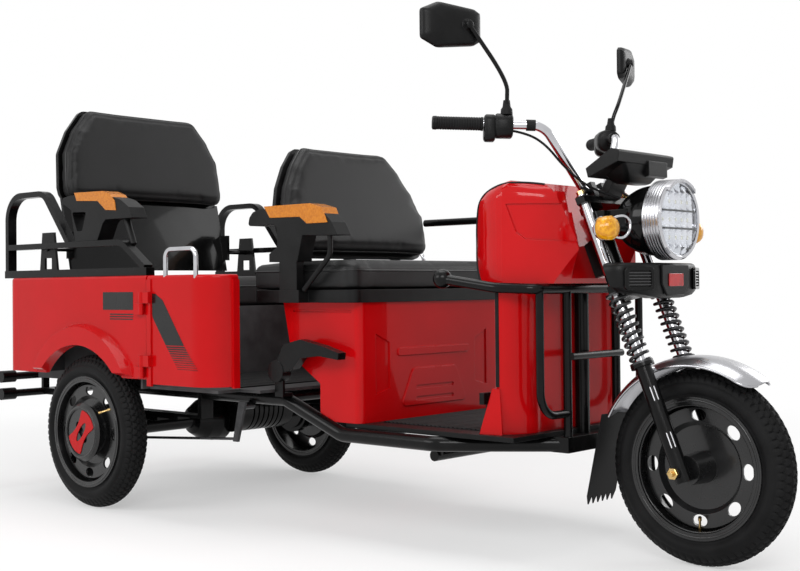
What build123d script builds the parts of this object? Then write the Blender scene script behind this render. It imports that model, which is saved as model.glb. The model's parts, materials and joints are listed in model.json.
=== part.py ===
from build123d import *
import math
import os

os.makedirs("parts", exist_ok=True)

# Electric cargo tricycle. Millimetres, +X forward, +Y left, +Z up, ground at Z = 0.
# Sizes along X are counted from the rear axle; the finished pieces are shifted so that
# the middle of the overall length lies at X = 0.

# Wheels and stance
WHEELBASE = 1790.0
WHEEL_OUTSET = 144.5
TYRE_RADIUS = 230.0
TYRE_WIDTH = 85.0
FLANGE_RADIUS = 166.5
RIM_SEAT_RADIUS = 154.0
RIM_WALL = 4.0
WINDOW_COUNT = 8
FIT = 0.3
RUNNING_GAP = 6.0

# Fork and steering, heights along the fork from the hub centre
RAKE = 22.0
FORK_OFFSET = 40.0
FORK_HALF = 100.0
LEG_RADIUS = 19.0
LEG_TOP = 262.0
LEG_TAIL = 24.0
STANCHION_RADIUS = 13.5
SPRING_RADIUS = 26.0
SPRING_WIRE = 8.0
SPRING_TURNS = 9.5
SPRING_SEAT = 5.0
LOWER_CLAMP = 440.0
UPPER_CLAMP = 672.0
CLAMP_THICK = 18.0
STEM_RADIUS = 14.0
HEAD_TUBE_RADIUS = 25.0
AXLE_RADIUS = 7.0
FORK_ROOM = 127.0
CLAMP_ROOM = 139.0
DASH_ROOM = 177.0
EDGE_ROUND = 9.0
PRESS_DEPTH = 4.0

# Handlebar
BAR_RADIUS = 11.0
BAR_SETBACK = -18.0
BAR_LIFT = 32.0
GRIP_RADIUS = 16.5
GRIP_LENGTH = 118.0

# Frame
RAIL_RADIUS = 19.0
RAIL_HALF = 300.0
TRACK = 2 * (RAIL_HALF + WHEEL_OUTSET)
RAIL_LOW = 270.0
RAIL_HIGH = 352.0
CROSS_RADIUS = 15.0
GUARD_X = WHEELBASE - 300
GUARD_TUBE = 12.5
CAGE_TUBE = 11.0
GUARD_TOP = 650.0
GUARD_HALF = RAIL_HALF - 22
GUARD_J_HALF = GUARD_HALF - 38
BALL_RADIUS = 15.0
CAGE_HALF = 110.0
DOWN_RADIUS = 18.0
FLOORBOARD_THICK = 12.0

# Tub
TUB_REAR = -428.0
TUB_FRONT = 600.0
TUB_HALF = TRACK / 2 + 40.5
TUB_BOTTOM = 400.0
TUB_TOP = 697.0
TUB_WALL = 14.0
TUB_FRONT_RADIUS = 90.0
TUB_REAR_RADIUS = 35.0
EDGE_WIDTH = 80.0
EDGE_THICK = 6.0
DOOR_X = 313.0
DOOR_GAP = 6.0
DOOR_END = TUB_HALF - 93
DOOR_BOTTOM = 388.0
ARCH_X = -10.0
ARCH_HALF = 200.0
ARCH_TOP = 492.0
FLARE_HALF = 262.0
FLARE_TOP = 562.0
FLARE_OUT = 25.0
FLOOR_THICK = 8.0
SEAT_BOX_FRONT = 90.0
SEAT_BOX_TOP = 600.0
SEAT_BOX_WALL = 10.0
HINGE_X = 300.0
HINGE_RADIUS = 7.0
HINGE_Y = TUB_HALF + 12
HINGE_LEAF = 34.0
HINGE_ROWS = ((405.0, 470.0), (585.0, 650.0))

# Side rails, rear armrests and the folding backrest
RAIL_Y = TUB_HALF - 40
STRIP_THICK = 24.0
REAR_ARM_IN = RAIL_Y - 45
REAR_ARM_OUT = RAIL_Y + 10
FOLD_X = -298.0
FOLD_Z = 790.0
FOLD_PIN = 8.0
BRACKET_Y = REAR_ARM_IN + 17
BRACKET_THICK = 8.0
REAR_LEAN = 7.4
REAR_PAD = 50.0
SHELL_THICK = 14.0

# Rider area
BOX_FRONT = 970.0
BOX_REAR = 680.0
BOX_STEP = 822.0
BOX_HALF = RAIL_HALF - 2
BOX_TOP = 618.0
SEAT_BASE_THICK = 34.0
SEAT_TOP = 725.0
SHIELD_X = GUARD_X - 70
SHIELD_HALF = GUARD_J_HALF + 17
SHIELD_FRONT_BULGE = 18.0
SHIELD_WALL = 24.0
COWL_HALF = SHIELD_HALF - 7
COWL_HEIGHT = 252.0
COWL_SHOULDER = 40.0
COWL_NOSE_X = GUARD_X + 50
COWL_NOSE_HALF = 124.0
ARM_IN = BOX_HALF + 16
ARM_OUT = ARM_IN + 52
RIDER_LEAN = 16.0
RIDER_PAD = 45.0

# Lamps
LAMP_AHEAD = 167.0
LAMP_DROP = 112.0
LAMP_RADIUS = 96.0
LENS_DEPTH = 12.0
BEZEL_DEPTH = 42.0
BEZEL_WALL = 8.0
VISOR = 14.0
SIGNAL_RADIUS = 28.0

# Rear axle
AXLE_TUBE = 25.0
SPINDLE_RADIUS = 15.0
DRUM_OUT = TRACK / 2 - 52.5
DRUM_RADIUS = 78.0
CAP_RADIUS = 88.0
CAP_OUT = TRACK / 2 + 55.5
LEAF_THICK = 9.0
LEAF_HALF_WIDTH = 22.0

# Rear bumper
BUMPER_X = -570.0
BUMPER_TUBE = 12.5
BUMPER_CAP_RADIUS = 20.0
BUMPER_CAP_LENGTH = 50.0
BUMPER_HALF = 430.0
BUMPER_ROWS = (310.0, 368.0)
BUMPER_ARM_Y = 260.0

# Sizes that follow
FRONT_END = WHEELBASE + TYRE_RADIUS
REAR_END = BUMPER_X - BUMPER_CAP_RADIUS
CENTRE_X = (FRONT_END + REAR_END) / 2
FLOORBOARD_LOW = RAIL_LOW + RAIL_RADIUS
FLOORBOARD_TOP = FLOORBOARD_LOW + FLOORBOARD_THICK
FLOOR_LOW = RAIL_HIGH + RAIL_RADIUS
FLOOR_TOP = FLOOR_LOW + FLOOR_THICK
SEAT_BASE_TOP = BOX_TOP + SEAT_BASE_THICK
STRIP_TOP = TUB_TOP + STRIP_THICK
COWL_BOTTOM = GUARD_TOP + GUARD_TUBE
WHEEL_INNER = RIM_SEAT_RADIUS - RIM_WALL
REAR_BACK_HALF = BRACKET_Y - 82
SEAT_HALF = BOX_HALF + 32


def save(name, shape):
    export_step(Pos(-CENTRE_X, 0, 0) * shape, f"parts/{name}.step")


def save_pair(name, right_shape):
    save(f"{name}_right", right_shape)
    save(f"{name}_left", mirror(right_shape, about=Plane.XZ))


def block(x0, x1, y0, y1, z0, z1):
    size = Box(x1 - x0, y1 - y0, z1 - z0)
    return Pos((x0 + x1) / 2, (y0 + y1) / 2, (z0 + z1) / 2) * size


def both_sides(shape):
    return shape + mirror(shape, about=Plane.XZ)


def rod(start, end, radius):
    start = Vector(*start)
    end = Vector(*end)
    along = end - start
    place = Plane(origin=(start + end) / 2, z_dir=along)
    return place * Cylinder(radius, along.length)


def bent_bar(points, bend, section, across=(0, 1, 0)):
    """A bar of any section along straight runs joined by arcs."""
    path = FilletPolyline(*points, radius=bend)
    start = Plane(origin=path @ 0, x_dir=across, z_dir=path % 0)
    return sweep(start * section, path=path)


def bent_tube(points, bend, radius):
    path = FilletPolyline(*points, radius=bend)
    start = Plane(origin=path @ 0, z_dir=path % 0)
    return sweep(start * Circle(radius), path=path)


def side_plate(outline, y0, y1):
    """Closed outline of (x, z) points, extruded from y0 to y1."""
    face = make_face(Polyline(*[(x, 0, z) for x, z in outline], close=True))
    return Pos(0, y1, 0) * extrude(face, amount=y1 - y0, dir=(0, -1, 0))


def on_fork(shape):
    """Places a shape made in the fork's own frame: hub centre at 0, Z up along the fork."""
    return Pos(WHEELBASE, 0, TYRE_RADIUS) * Rot(0, -RAKE, 0) * shape


def fork_point(u, y, height):
    """A point of the fork's own frame in the tricycle's frame."""
    tilt = math.radians(RAKE)
    x = WHEELBASE + u * math.cos(tilt) - height * math.sin(tilt)
    z = TYRE_RADIUS + u * math.sin(tilt) + height * math.cos(tilt)
    return Vector(x, y, z)


def soften(shape, radius, low, high):
    """Rounds the edges whose middles lie between two heights of the shape's own Z."""
    edges = [edge for edge in shape.edges() if low <= edge.center().Z <= high]
    return fillet(edges, radius=radius)


# Wheels: tyre, rim barrel and dished disc with oval windows

def make_tyre():
    half = TYRE_WIDTH / 2
    bead = half - 2 * RIM_WALL
    seat = RIM_SEAT_RADIUS + FIT
    lip = FLANGE_RADIUS + 2
    shoulder_radius = TYRE_RADIUS - 12
    shoulder = half - 6
    belly = (lip + shoulder_radius) / 2
    outline = [
        Line((seat, -bead), (seat, bead)),
        Line((seat, bead), (lip, bead)),
        ThreePointArc((lip, bead), (belly, half), (shoulder_radius, shoulder)),
        ThreePointArc((shoulder_radius, shoulder), (TYRE_RADIUS, 0), (shoulder_radius, -shoulder)),
        ThreePointArc((shoulder_radius, -shoulder), (belly, -half), (lip, -bead)),
        Line((lip, -bead), (seat, -bead)),
    ]
    return revolve(make_face(outline), Axis.Y)


def make_barrel():
    flange = TYRE_WIDTH / 2 - 2 * RIM_WALL + FIT
    outer = flange + RIM_WALL
    section = Polyline(
        (WHEEL_INNER, -outer), (FLANGE_RADIUS, -outer), (FLANGE_RADIUS, -flange), (RIM_SEAT_RADIUS, -flange),
        (RIM_SEAT_RADIUS, flange), (FLANGE_RADIUS, flange), (FLANGE_RADIUS, outer), (WHEEL_INNER, outer), close=True)
    return revolve(make_face(section), Axis.Y)


def make_disc(face_y, hub_radius, hub_outer, hub_inner, bore):
    """Wheel disc whose outer side faces -Y; face_y is the pressed ring's outer face."""
    metal = 6.0
    section = Polyline(
        (bore, hub_outer), (hub_radius, hub_outer), (hub_radius + 4, face_y + 14), (98, face_y + 14),
        (108, face_y), (140, face_y), (WHEEL_INNER, face_y + 12), (WHEEL_INNER, face_y + 12 + metal),
        (138, face_y + metal), (110, face_y + metal), (100, face_y + 14 + metal), (hub_radius + 4, face_y + 14 + metal),
        (hub_radius, hub_inner), (bore, hub_inner), close=True)
    plate = revolve(make_face(section), Axis.Y)
    window = Rot(90, 0, 0) * extrude(Ellipse(19, 14), amount=60, both=True)
    for number in range(WINDOW_COUNT):
        plate -= Rot(0, number * 360 / WINDOW_COUNT, 0) * Pos(0, 0, 123) * window
    return plate


tyre = make_tyre()
barrel = make_barrel()
front_place = Pos(WHEELBASE, 0, TYRE_RADIUS)
front_hub = FORK_HALF - LEG_RADIUS - RUNNING_GAP
save("front_tyre", front_place * tyre)
save("front_rim", front_place * (barrel + make_disc(-14, 34, -front_hub, front_hub, AXLE_RADIUS + FIT)))

cap_depth = CAP_OUT - TRACK / 2
rear_rim = barrel + make_disc(-24, 62, -30, 40, SPINDLE_RADIUS + FIT)
rear_rim += rod((0, -cap_depth + 8, 0), (0, -30, 0), CAP_RADIUS - 10)
rear_rim += Pos(0, -cap_depth + 4, 0) * Rot(90, 0, 0) * Cone(CAP_RADIUS, CAP_RADIUS - 8, 8)
rear_rim -= rod((0, -cap_depth - 1, 0), (0, -cap_depth + 3, 0), CAP_RADIUS - 18)
cap_slot = Pos(0, -cap_depth, 0) * Rot(90, 0, 0) * extrude(SlotOverall(74, 24), amount=9, both=True)
rear_rim -= Rot(0, 50, 0) * cap_slot
rear_tyre_place = Pos(0, -TRACK / 2, TYRE_RADIUS)
save_pair("rear_tyre", rear_tyre_place * tyre)
save_pair("rear_rim", rear_tyre_place * rear_rim)

# Frame: two side rails that kick up under the tub, cross tubes, front box beam, cross stub

beam_x0 = GUARD_X - 40
beam_x1 = GUARD_X + GUARD_TUBE
beam_half = CAGE_HALF + 18
side_rail_tube = bent_tube(
    [(TUB_REAR + 20, -RAIL_HALF, RAIL_HIGH), (690, -RAIL_HALF, RAIL_HIGH), (905, -RAIL_HALF, RAIL_LOW),
     (GUARD_X - 265, -RAIL_HALF, RAIL_LOW), (beam_x0 + 20, -CAGE_HALF, RAIL_LOW)], 60, RAIL_RADIUS)
frame = both_sides(side_rail_tube)
for cross_x, cross_z in ((-400, RAIL_HIGH), (-180, RAIL_HIGH), (330, RAIL_HIGH), (640, RAIL_HIGH),
                         (930, RAIL_LOW), (GUARD_X - 275, RAIL_LOW)):
    frame += rod((cross_x, -RAIL_HALF, cross_z), (cross_x, RAIL_HALF, cross_z), CROSS_RADIUS)
frame += block(beam_x0, beam_x1, -beam_half, beam_half, FLOORBOARD_LOW - 2 * RAIL_RADIUS, FLOORBOARD_LOW)
STUB_X = GUARD_X - 300
STUB_Z = 234.0
STUB_RADIUS = 14.0
STUB_HALF = RAIL_HALF - 38
frame += rod((STUB_X, -STUB_HALF, STUB_Z), (STUB_X, STUB_HALF, STUB_Z), STUB_RADIUS)
stub_ear = block(STUB_X - 16, STUB_X + 16, -STUB_HALF + 8, -STUB_HALF + 16, STUB_Z, RAIL_LOW + 4)
stub_ear += block(STUB_X - 16, STUB_X + 16, -RAIL_HALF, -STUB_HALF + 16, RAIL_LOW - 4, RAIL_LOW + 4)
frame += both_sides(stub_ear)
save("frame", frame)

# Rear bumper: two cross tubes with rubber ends on two arms

bumper = Part()
for row_z in BUMPER_ROWS:
    bumper += rod((BUMPER_X, -BUMPER_HALF, row_z), (BUMPER_X, BUMPER_HALF, row_z), BUMPER_TUBE)
    bumper += both_sides(rod((BUMPER_X, -BUMPER_HALF, row_z), (BUMPER_X, -BUMPER_HALF + BUMPER_CAP_LENGTH, row_z),
                             BUMPER_CAP_RADIUS))
arm_y0 = -BUMPER_ARM_Y - 12
arm_y1 = -BUMPER_ARM_Y + 12
bumper_arm = block(BUMPER_X, TUB_REAR, arm_y0, arm_y1, BUMPER_ROWS[0] - 10, BUMPER_ROWS[0] + 12)
bumper_arm += block(BUMPER_X - 6, BUMPER_X + 6, arm_y0, arm_y1, BUMPER_ROWS[0], BUMPER_ROWS[1])
bumper_arm += block(TUB_REAR - 18, TUB_REAR + 6, arm_y0, arm_y1, BUMPER_ROWS[0] - 10, RAIL_HIGH + 10)
bumper_arm += block(TUB_REAR - 18, TUB_REAR + 30, arm_y0, arm_y1, RAIL_HIGH - 10, RAIL_HIGH + 10)
bumper += both_sides(bumper_arm)
save("rear_bumper", bumper - frame)

# Front guard: side bars with ball ends, two uprights, two J tubes and a step bar

ball_place = (GUARD_X - 250, -GUARD_HALF, GUARD_TOP + 26)
side_bar = bent_tube([ball_place, (GUARD_X - 90, -GUARD_HALF, GUARD_TOP + 4), (GUARD_X, -GUARD_J_HALF, GUARD_TOP),
                      (GUARD_X, 0, GUARD_TOP)], [60, 30], GUARD_TUBE)
side_bar += Pos(*ball_place) * Sphere(BALL_RADIUS)
j_tube = bent_tube([(GUARD_X, -GUARD_J_HALF + 16, GUARD_TOP), (GUARD_X, -GUARD_J_HALF + 16, 346),
                    (GUARD_X, -CAGE_HALF, 346)], 60, CAGE_TUBE - 1)
upright = rod((GUARD_X, -CAGE_HALF, FLOORBOARD_LOW), (GUARD_X, -CAGE_HALF, GUARD_TOP), CAGE_TUBE)
guard = both_sides(side_bar + j_tube + upright)
guard += rod((GUARD_X + 14, -CAGE_HALF - 4, 485), (GUARD_X + 14, CAGE_HALF + 4, 485), CAGE_TUBE - 2)
save("front_guard", guard)

# Head tube on its down tube, with a gusset

head_low = LOWER_CLAMP + CLAMP_THICK + RUNNING_GAP
head_high = UPPER_CLAMP - RUNNING_GAP
head_place = Pos(-FORK_OFFSET, 0, (head_low + head_high) / 2)
down_x = GUARD_X - GUARD_TUBE - DOWN_RADIUS
head_tube = on_fork(head_place * Cylinder(HEAD_TUBE_RADIUS, head_high - head_low))
head_tube += rod((down_x, 0, FLOORBOARD_LOW), (down_x, 0, 740), DOWN_RADIUS)
head_tube += side_plate([(down_x, 664), (GUARD_X + 70, 690), (GUARD_X + 30, 790), (down_x - 10, 738)], -8, 8)
head_tube -= on_fork(head_place * Cylinder(STEM_RADIUS + FIT, head_high))
save("head_tube", head_tube)

# Floorboard, leg shield and cowl

floorboard = block(BOX_STEP + 90, beam_x0 + 10, -RAIL_HALF + 8, RAIL_HALF - 8, FLOORBOARD_LOW, FLOORBOARD_TOP)
floorboard -= rod((down_x, 0, FLOORBOARD_LOW - 5), (down_x, 0, FLOORBOARD_TOP + 5), DOWN_RADIUS + FIT)
save("floorboard", floorboard)


def shield_plan():
    """Leg shield seen from above: flat middle, sides swept back."""
    front = SHIELD_X + SHIELD_FRONT_BULGE
    back = front - SHIELD_WALL
    edge = SHIELD_X - 28
    outer = Polyline((front, -150), (front, 150))
    left = ThreePointArc((front, 150), (front - 10, 222), (edge, SHIELD_HALF))
    left_in = ThreePointArc((edge - 14, SHIELD_HALF - 8), (back - 6, 205), (back, 150))
    right_in = ThreePointArc((back, -150), (back - 6, -205), (edge - 14, -SHIELD_HALF + 8))
    right = ThreePointArc((edge, -SHIELD_HALF), (front - 10, -222), (front, -150))
    return make_face([outer, left, Line((edge, SHIELD_HALF), (edge - 14, SHIELD_HALF - 8)), left_in,
                      Line((back, 150), (back, -150)), right_in,
                      Line((edge - 14, -SHIELD_HALF + 8), (edge, -SHIELD_HALF)), right])


shield = Pos(0, 0, FLOORBOARD_TOP) * extrude(shield_plan(), amount=COWL_BOTTOM - FLOORBOARD_TOP)
foot_edge = SHIELD_X - 28
foot_profile = make_face(Polyline((foot_edge - 44, -SHIELD_HALF - 22), (foot_edge + 20, -SHIELD_HALF - 14),
                                  (foot_edge + 2, -SHIELD_HALF), (foot_edge - 14, -SHIELD_HALF + 8), close=True))
foot_top = make_face(Polyline((foot_edge - 20, -SHIELD_HALF - 1), (foot_edge + 4, -SHIELD_HALF - 1),
                              (foot_edge + 2, -SHIELD_HALF), (foot_edge - 14, -SHIELD_HALF + 8), close=True))
flared_foot = loft([Pos(0, 0, FLOORBOARD_TOP) * foot_profile, Pos(0, 0, FLOORBOARD_TOP + 110) * foot_top])
shield += both_sides(flared_foot)
save("leg_shield", shield)

cowl_side = [(SHIELD_X - 158, COWL_BOTTOM + 98), (SHIELD_X - 108, COWL_BOTTOM), (COWL_NOSE_X - 38, COWL_BOTTOM),
             (COWL_NOSE_X, COWL_BOTTOM + 82), (COWL_NOSE_X - 38, COWL_BOTTOM + COWL_HEIGHT - 14),
             (SHIELD_X - 20, COWL_BOTTOM + COWL_HEIGHT),
             (SHIELD_X - 110, COWL_BOTTOM + COWL_HEIGHT - 26)]
nose_x = COWL_NOSE_X + 5
nose_half = COWL_NOSE_HALF - 8
back_x = SHIELD_X - 165
wide_x = SHIELD_X - 20
cowl_flank = [ThreePointArc((back_x, 130), (back_x + 45, 215), (wide_x, COWL_HALF)),
              ThreePointArc((wide_x, COWL_HALF), (wide_x + 85, 200), (nose_x, nose_half))]
cowl_plan = [Line((back_x, -130), (back_x, 130)), *cowl_flank, Line((nose_x, nose_half), (nose_x, -nose_half)),
             *[mirror(edge, about=Plane.XZ) for edge in cowl_flank]]
cowl = side_plate(cowl_side, -COWL_HALF, COWL_HALF)
cowl &= Pos(0, 0, COWL_BOTTOM) * extrude(make_face(cowl_plan), amount=COWL_HEIGHT)
shoulders = [edge for edge in cowl.edges()
             if edge.center().Z > COWL_BOTTOM + COWL_HEIGHT - 60 and abs(edge.center().Y) > 60]
cowl = fillet(shoulders, radius=COWL_SHOULDER)
panel = side_plate([(wide_x + 9, 855), (nose_x + 60, 853), (nose_x + 60, 758), (wide_x + 51, 770), (wide_x + 32, 787)],
                   -COWL_HALF, COWL_HALF)
panel -= Pos(0, 0, COWL_BOTTOM) * extrude(offset(make_face(cowl_plan), amount=-PRESS_DEPTH), amount=COWL_HEIGHT)
cowl -= panel
front_only = block(-FORK_OFFSET - 55, 300, -300, 300, 300, 900)
fork_room = Pos(-FORK_OFFSET, 0, 600) * Cylinder(FORK_ROOM, 600)
fork_room += Pos(-FORK_OFFSET, 0, UPPER_CLAMP - 10 + 150) * Cylinder(CLAMP_ROOM, 300)
fork_room += Pos(-FORK_OFFSET, 0, UPPER_CLAMP + 42 + 150) * Cylinder(DASH_ROOM, 300)
fork_room &= front_only
fork_room += Pos(-FORK_OFFSET, 0, 600) * Cylinder(HEAD_TUBE_RADIUS + 3, 600)
cowl -= on_fork(fork_room)
cowl -= rod((down_x, 0, COWL_BOTTOM - 5), (down_x, 0, 740), DOWN_RADIUS + FIT)
cowl -= guard
cowl -= head_tube
save("cowl", cowl)

# Battery box, seat base, rider seat and its armrests

box_side = [(BOX_REAR, BOX_TOP), (BOX_FRONT, BOX_TOP), (BOX_FRONT, FLOORBOARD_TOP), (BOX_STEP, FLOORBOARD_TOP),
            (BOX_STEP, 400), (BOX_REAR + 32, 470)]
battery = side_plate(box_side, -BOX_HALF, BOX_HALF)
battery = fillet([edge for edge in battery.edges().filter_by(Axis.Z) if edge.center().X > BOX_FRONT - 1], radius=22)
facing = Plane(origin=(BOX_FRONT - PRESS_DEPTH, 0, 0), x_dir=(0, 1, 0), z_dir=(1, 0, 0))
recess = both_sides(facing * extrude(make_face(Polyline((182, 387), (236, 373), (236, 534), (182, 510), close=True)),
                                     amount=PRESS_DEPTH + 1))
upper_bar = RectangleRounded(308, 25, 10)
lower_tray = fillet(make_face(Polyline((-144, 333), (144, 333), (92, 438), (-92, 438), close=True)).vertices(), 14)
battery -= recess
battery += facing * (Pos(0, 482.5, 0) * extrude(upper_bar, amount=2 * PRESS_DEPTH, taper=20))
tray = facing * extrude(lower_tray, amount=2 * PRESS_DEPTH, taper=20)
for groove_z in (353, 384):
    tray -= facing * (Pos(0, groove_z, PRESS_DEPTH + 1) * extrude(SlotOverall(160, 9), amount=PRESS_DEPTH + 1))
battery += tray
for side_y in (-BOX_HALF, BOX_HALF):
    battery -= block(BOX_REAR + 40, BOX_FRONT - 30, side_y - 3, side_y + 3, BOX_TOP - 26, BOX_TOP - 20)
save("battery_box", battery - frame)

seat_base = block(585, 978, -SEAT_HALF, SEAT_HALF, BOX_TOP, SEAT_BASE_TOP)
seat_base = fillet(seat_base.edges().filter_by(Axis.Z), radius=30)
seat_base += block(735, 812, -ARM_OUT, ARM_OUT, BOX_TOP, SEAT_BASE_TOP)
save("seat_base", seat_base)

support_x0 = 646.0
support_x1 = 668.0
support = block(support_x0, support_x1, -200, -176, SEAT_BASE_TOP, 800)
slot = block(560, support_x1 + 3, -203, -173, SEAT_BASE_TOP, SEAT_TOP + 5)
cushion_half = SEAT_HALF + 8
cushion = block(570, 980, -cushion_half, cushion_half, SEAT_BASE_TOP + FIT, SEAT_TOP)
cushion = fillet(cushion.edges().filter_by(Axis.Z), radius=42)
cushion = soften(cushion, 24, SEAT_TOP - 1, SEAT_TOP + 1)
cushion = soften(cushion, 10, SEAT_BASE_TOP, SEAT_BASE_TOP + 1)
arm_foot = block(738, 805, -ARM_OUT, -cushion_half - 2, SEAT_BASE_TOP, SEAT_TOP + 5)
save("rider_cushion", cushion - both_sides(slot))


def backrest(origin, lean, outline, back, front, rounding=0):
    """Plate with an outline of (half width, height) points from the bottom up, leaning back."""
    points = [(half, height) for half, height in outline]
    points += [(-half, height) for half, height in reversed(outline)]
    face = make_face(Polyline(*points, close=True))
    face = fillet(face.vertices(), radius=34)
    plate = Pos(0, 0, -back) * extrude(face, amount=back + front)
    if rounding:
        plate = soften(plate, rounding, front - 1, front + 1)
    tilt = math.radians(lean)
    place = Plane(origin=origin, x_dir=(0, 1, 0), z_dir=(math.cos(tilt), 0, math.sin(tilt)))
    return place * plate


rider_back = (681.0, 0.0, 744.0)
rider_half = SEAT_HALF - 32
rider_outline = ((rider_half - 14, 0), (rider_half, 125), (rider_half - 30, 205), (rider_half - 72, 272),
                 (rider_half - 122, 328))
save("rider_backrest", backrest(rider_back, RIDER_LEAN, rider_outline, 0, RIDER_PAD, 20))
rider_shell = backrest(rider_back, RIDER_LEAN, rider_outline, SHELL_THICK, -FIT)
rider_shell += both_sides(support) - backrest(rider_back, RIDER_LEAN, rider_outline, 0, 60)
save("rider_backrest_shell", rider_shell)

arm_outline = [(612, 829), (618, 852), (632, 866), (655, 873), (858, 872), (898, 864), (938, 828), (958, 794),
               (905, 794), (828, 797), (808, 728), (698, 728), (698, 750), (730, 768), (730, 819), (716, 829)]
arm_reflector = [(679, 880), (858, 880), (904, 868), (924, 827), (847, 827), (820, 846), (703, 848)]
rider_reflector = side_plate(arm_reflector, -ARM_OUT - 2, -ARM_IN)
right_arm = side_plate(arm_outline, -ARM_OUT, -ARM_IN)
right_arm = fillet(right_arm.edges().filter_by(Axis.Y).sort_by(Axis.X)[:3], radius=8)
strut_y = ARM_OUT - 14
strut = bent_tube([(918, -strut_y, 800), (918, -strut_y, 742), (818, -strut_y, SEAT_BASE_TOP)], 36, 7)
right_arm += arm_foot + (strut - seat_base)
save("rider_armrest_right", right_arm - rider_reflector)
left_y = ARM_OUT - 14
left_arm = bent_tube([(640, left_y, 858), (905, left_y, 858), (905, left_y, 790), (800, left_y, SEAT_BASE_TOP)],
                     [30, 20], BAR_RADIUS)
left_arm -= seat_base
save("rider_armrest_left", left_arm)

# Tub: sides, rear wall, doors, floor with seat box

def rounded_plan(grow):
    """Plan of the tub, grown outwards by a size, with its four corner radii."""
    half = TUB_HALF + grow
    x0 = TUB_REAR - grow
    x1 = TUB_FRONT + grow
    face = make_face(Polyline((x0, -half), (x1, -half), (x1, half), (x0, half), close=True))
    face = fillet(face.vertices().sort_by(Axis.X)[2:], radius=TUB_FRONT_RADIUS + grow)
    return fillet(face.vertices().sort_by(Axis.X)[:2], radius=TUB_REAR_RADIUS + grow)


def tub_ring(low, high):
    outer = extrude(rounded_plan(0), amount=high - low)
    inner = extrude(rounded_plan(-TUB_WALL), amount=high - low)
    outer = soften(outer, EDGE_ROUND, high - low - 1, high - low + 1)
    return Pos(0, 0, low) * (outer - inner)


def arch_shape(half, top, low):
    return make_face([
        Line((ARCH_X - half, low), (ARCH_X + half, low)),
        Line((ARCH_X + half, low), (ARCH_X + half, TUB_BOTTOM)),
        ThreePointArc((ARCH_X + half, TUB_BOTTOM), (ARCH_X, top), (ARCH_X - half, TUB_BOTTOM)),
        Line((ARCH_X - half, TUB_BOTTOM), (ARCH_X - half, low)),
    ])


inner_half = TUB_HALF - TUB_WALL
inner_rear = TUB_REAR + TUB_WALL
rear_split = TUB_REAR + 60
outward = Plane(origin=(0, 0, 0), x_dir=(1, 0, 0), z_dir=(0, -1, 0))
arch_cut = outward * (Pos(0, 0, TUB_HALF - 60) * extrude(arch_shape(ARCH_HALF, ARCH_TOP, TUB_BOTTOM - 20), amount=140))
flare_face = make_face([
    Line((ARCH_X - FLARE_HALF, TUB_BOTTOM), (ARCH_X + FLARE_HALF, TUB_BOTTOM)),
    ThreePointArc((ARCH_X + FLARE_HALF, TUB_BOTTOM), (ARCH_X, FLARE_TOP), (ARCH_X - FLARE_HALF, TUB_BOTTOM)),
])
flare = outward * (Pos(0, 0, inner_half) * extrude(flare_face, amount=TUB_WALL + FLARE_OUT, taper=22))
flare = flare & block(rear_split, DOOR_X, -TUB_HALF - 60, 0, TUB_BOTTOM, TUB_TOP)
ring = tub_ring(TUB_BOTTOM, TUB_TOP)
side_end = DOOR_X - DOOR_GAP
tub_side = ring & block(rear_split, side_end, -TUB_HALF - 20, -300, TUB_BOTTOM - 30, TUB_TOP + 5)
tub_side += block(rear_split, side_end, -TUB_HALF + EDGE_ROUND + 1, -TUB_HALF + EDGE_WIDTH, TUB_TOP - EDGE_THICK, TUB_TOP)
tub_side = tub_side + flare - arch_cut
rear_wall = ring & block(TUB_REAR - 20, rear_split, -TUB_HALF - 10, TUB_HALF + 10, TUB_BOTTOM - 30, TUB_TOP + 5)
rear_edge = extrude(rounded_plan(-EDGE_ROUND - 1), amount=EDGE_THICK) & block(TUB_REAR - 5, rear_split, -TUB_HALF, TUB_HALF, 0, EDGE_THICK)
rear_wall += Pos(0, 0, TUB_TOP - EDGE_THICK) * rear_edge
save("tub_rear_wall", rear_wall)

door = tub_ring(DOOR_BOTTOM, TUB_TOP) & block(DOOR_X, TUB_FRONT + 20, -TUB_HALF - 20, -DOOR_END, DOOR_BOTTOM - 5, TUB_TOP + 5)
leaf_y = -HINGE_Y - 2
hinge_strip = block(DOOR_X, DOOR_X + 20, -TUB_HALF - 4, -TUB_HALF + 4, DOOR_BOTTOM - 6, TUB_TOP - 12)
latch_strip = block(TUB_FRONT - 6, TUB_FRONT + 5, -DOOR_END - 22, -DOOR_END, DOOR_BOTTOM - 4, TUB_TOP - 14)
door += hinge_strip + latch_strip
for low, high in HINGE_ROWS:
    middle = (low + high) / 2
    tub_side += rod((HINGE_X, -HINGE_Y, low), (HINGE_X, -HINGE_Y, middle - FIT / 2), HINGE_RADIUS)
    tub_side += block(HINGE_X - HINGE_LEAF, HINGE_X - 2, leaf_y, -TUB_HALF, low, middle - FIT / 2)
    door += rod((HINGE_X, -HINGE_Y, middle + FIT / 2), (HINGE_X, -HINGE_Y, high), HINGE_RADIUS)
    door += block(HINGE_X + 2, DOOR_X, leaf_y, -TUB_HALF - 2, middle + FIT / 2, high)
    door += block(DOOR_X, HINGE_X + HINGE_LEAF, leaf_y, -TUB_HALF, middle + FIT / 2, high)
save_pair("tub_side", tub_side)
save_pair("door", door)

handle_y = TUB_HALF - TUB_WALL / 2
handle = bent_tube([(389, -handle_y, TUB_TOP - 10), (389, -handle_y, 769), (523, -handle_y, 769), (523, -handle_y, TUB_TOP - 10)],
                   24, 6.5)
save_pair("door_handle", handle - door)

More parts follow.
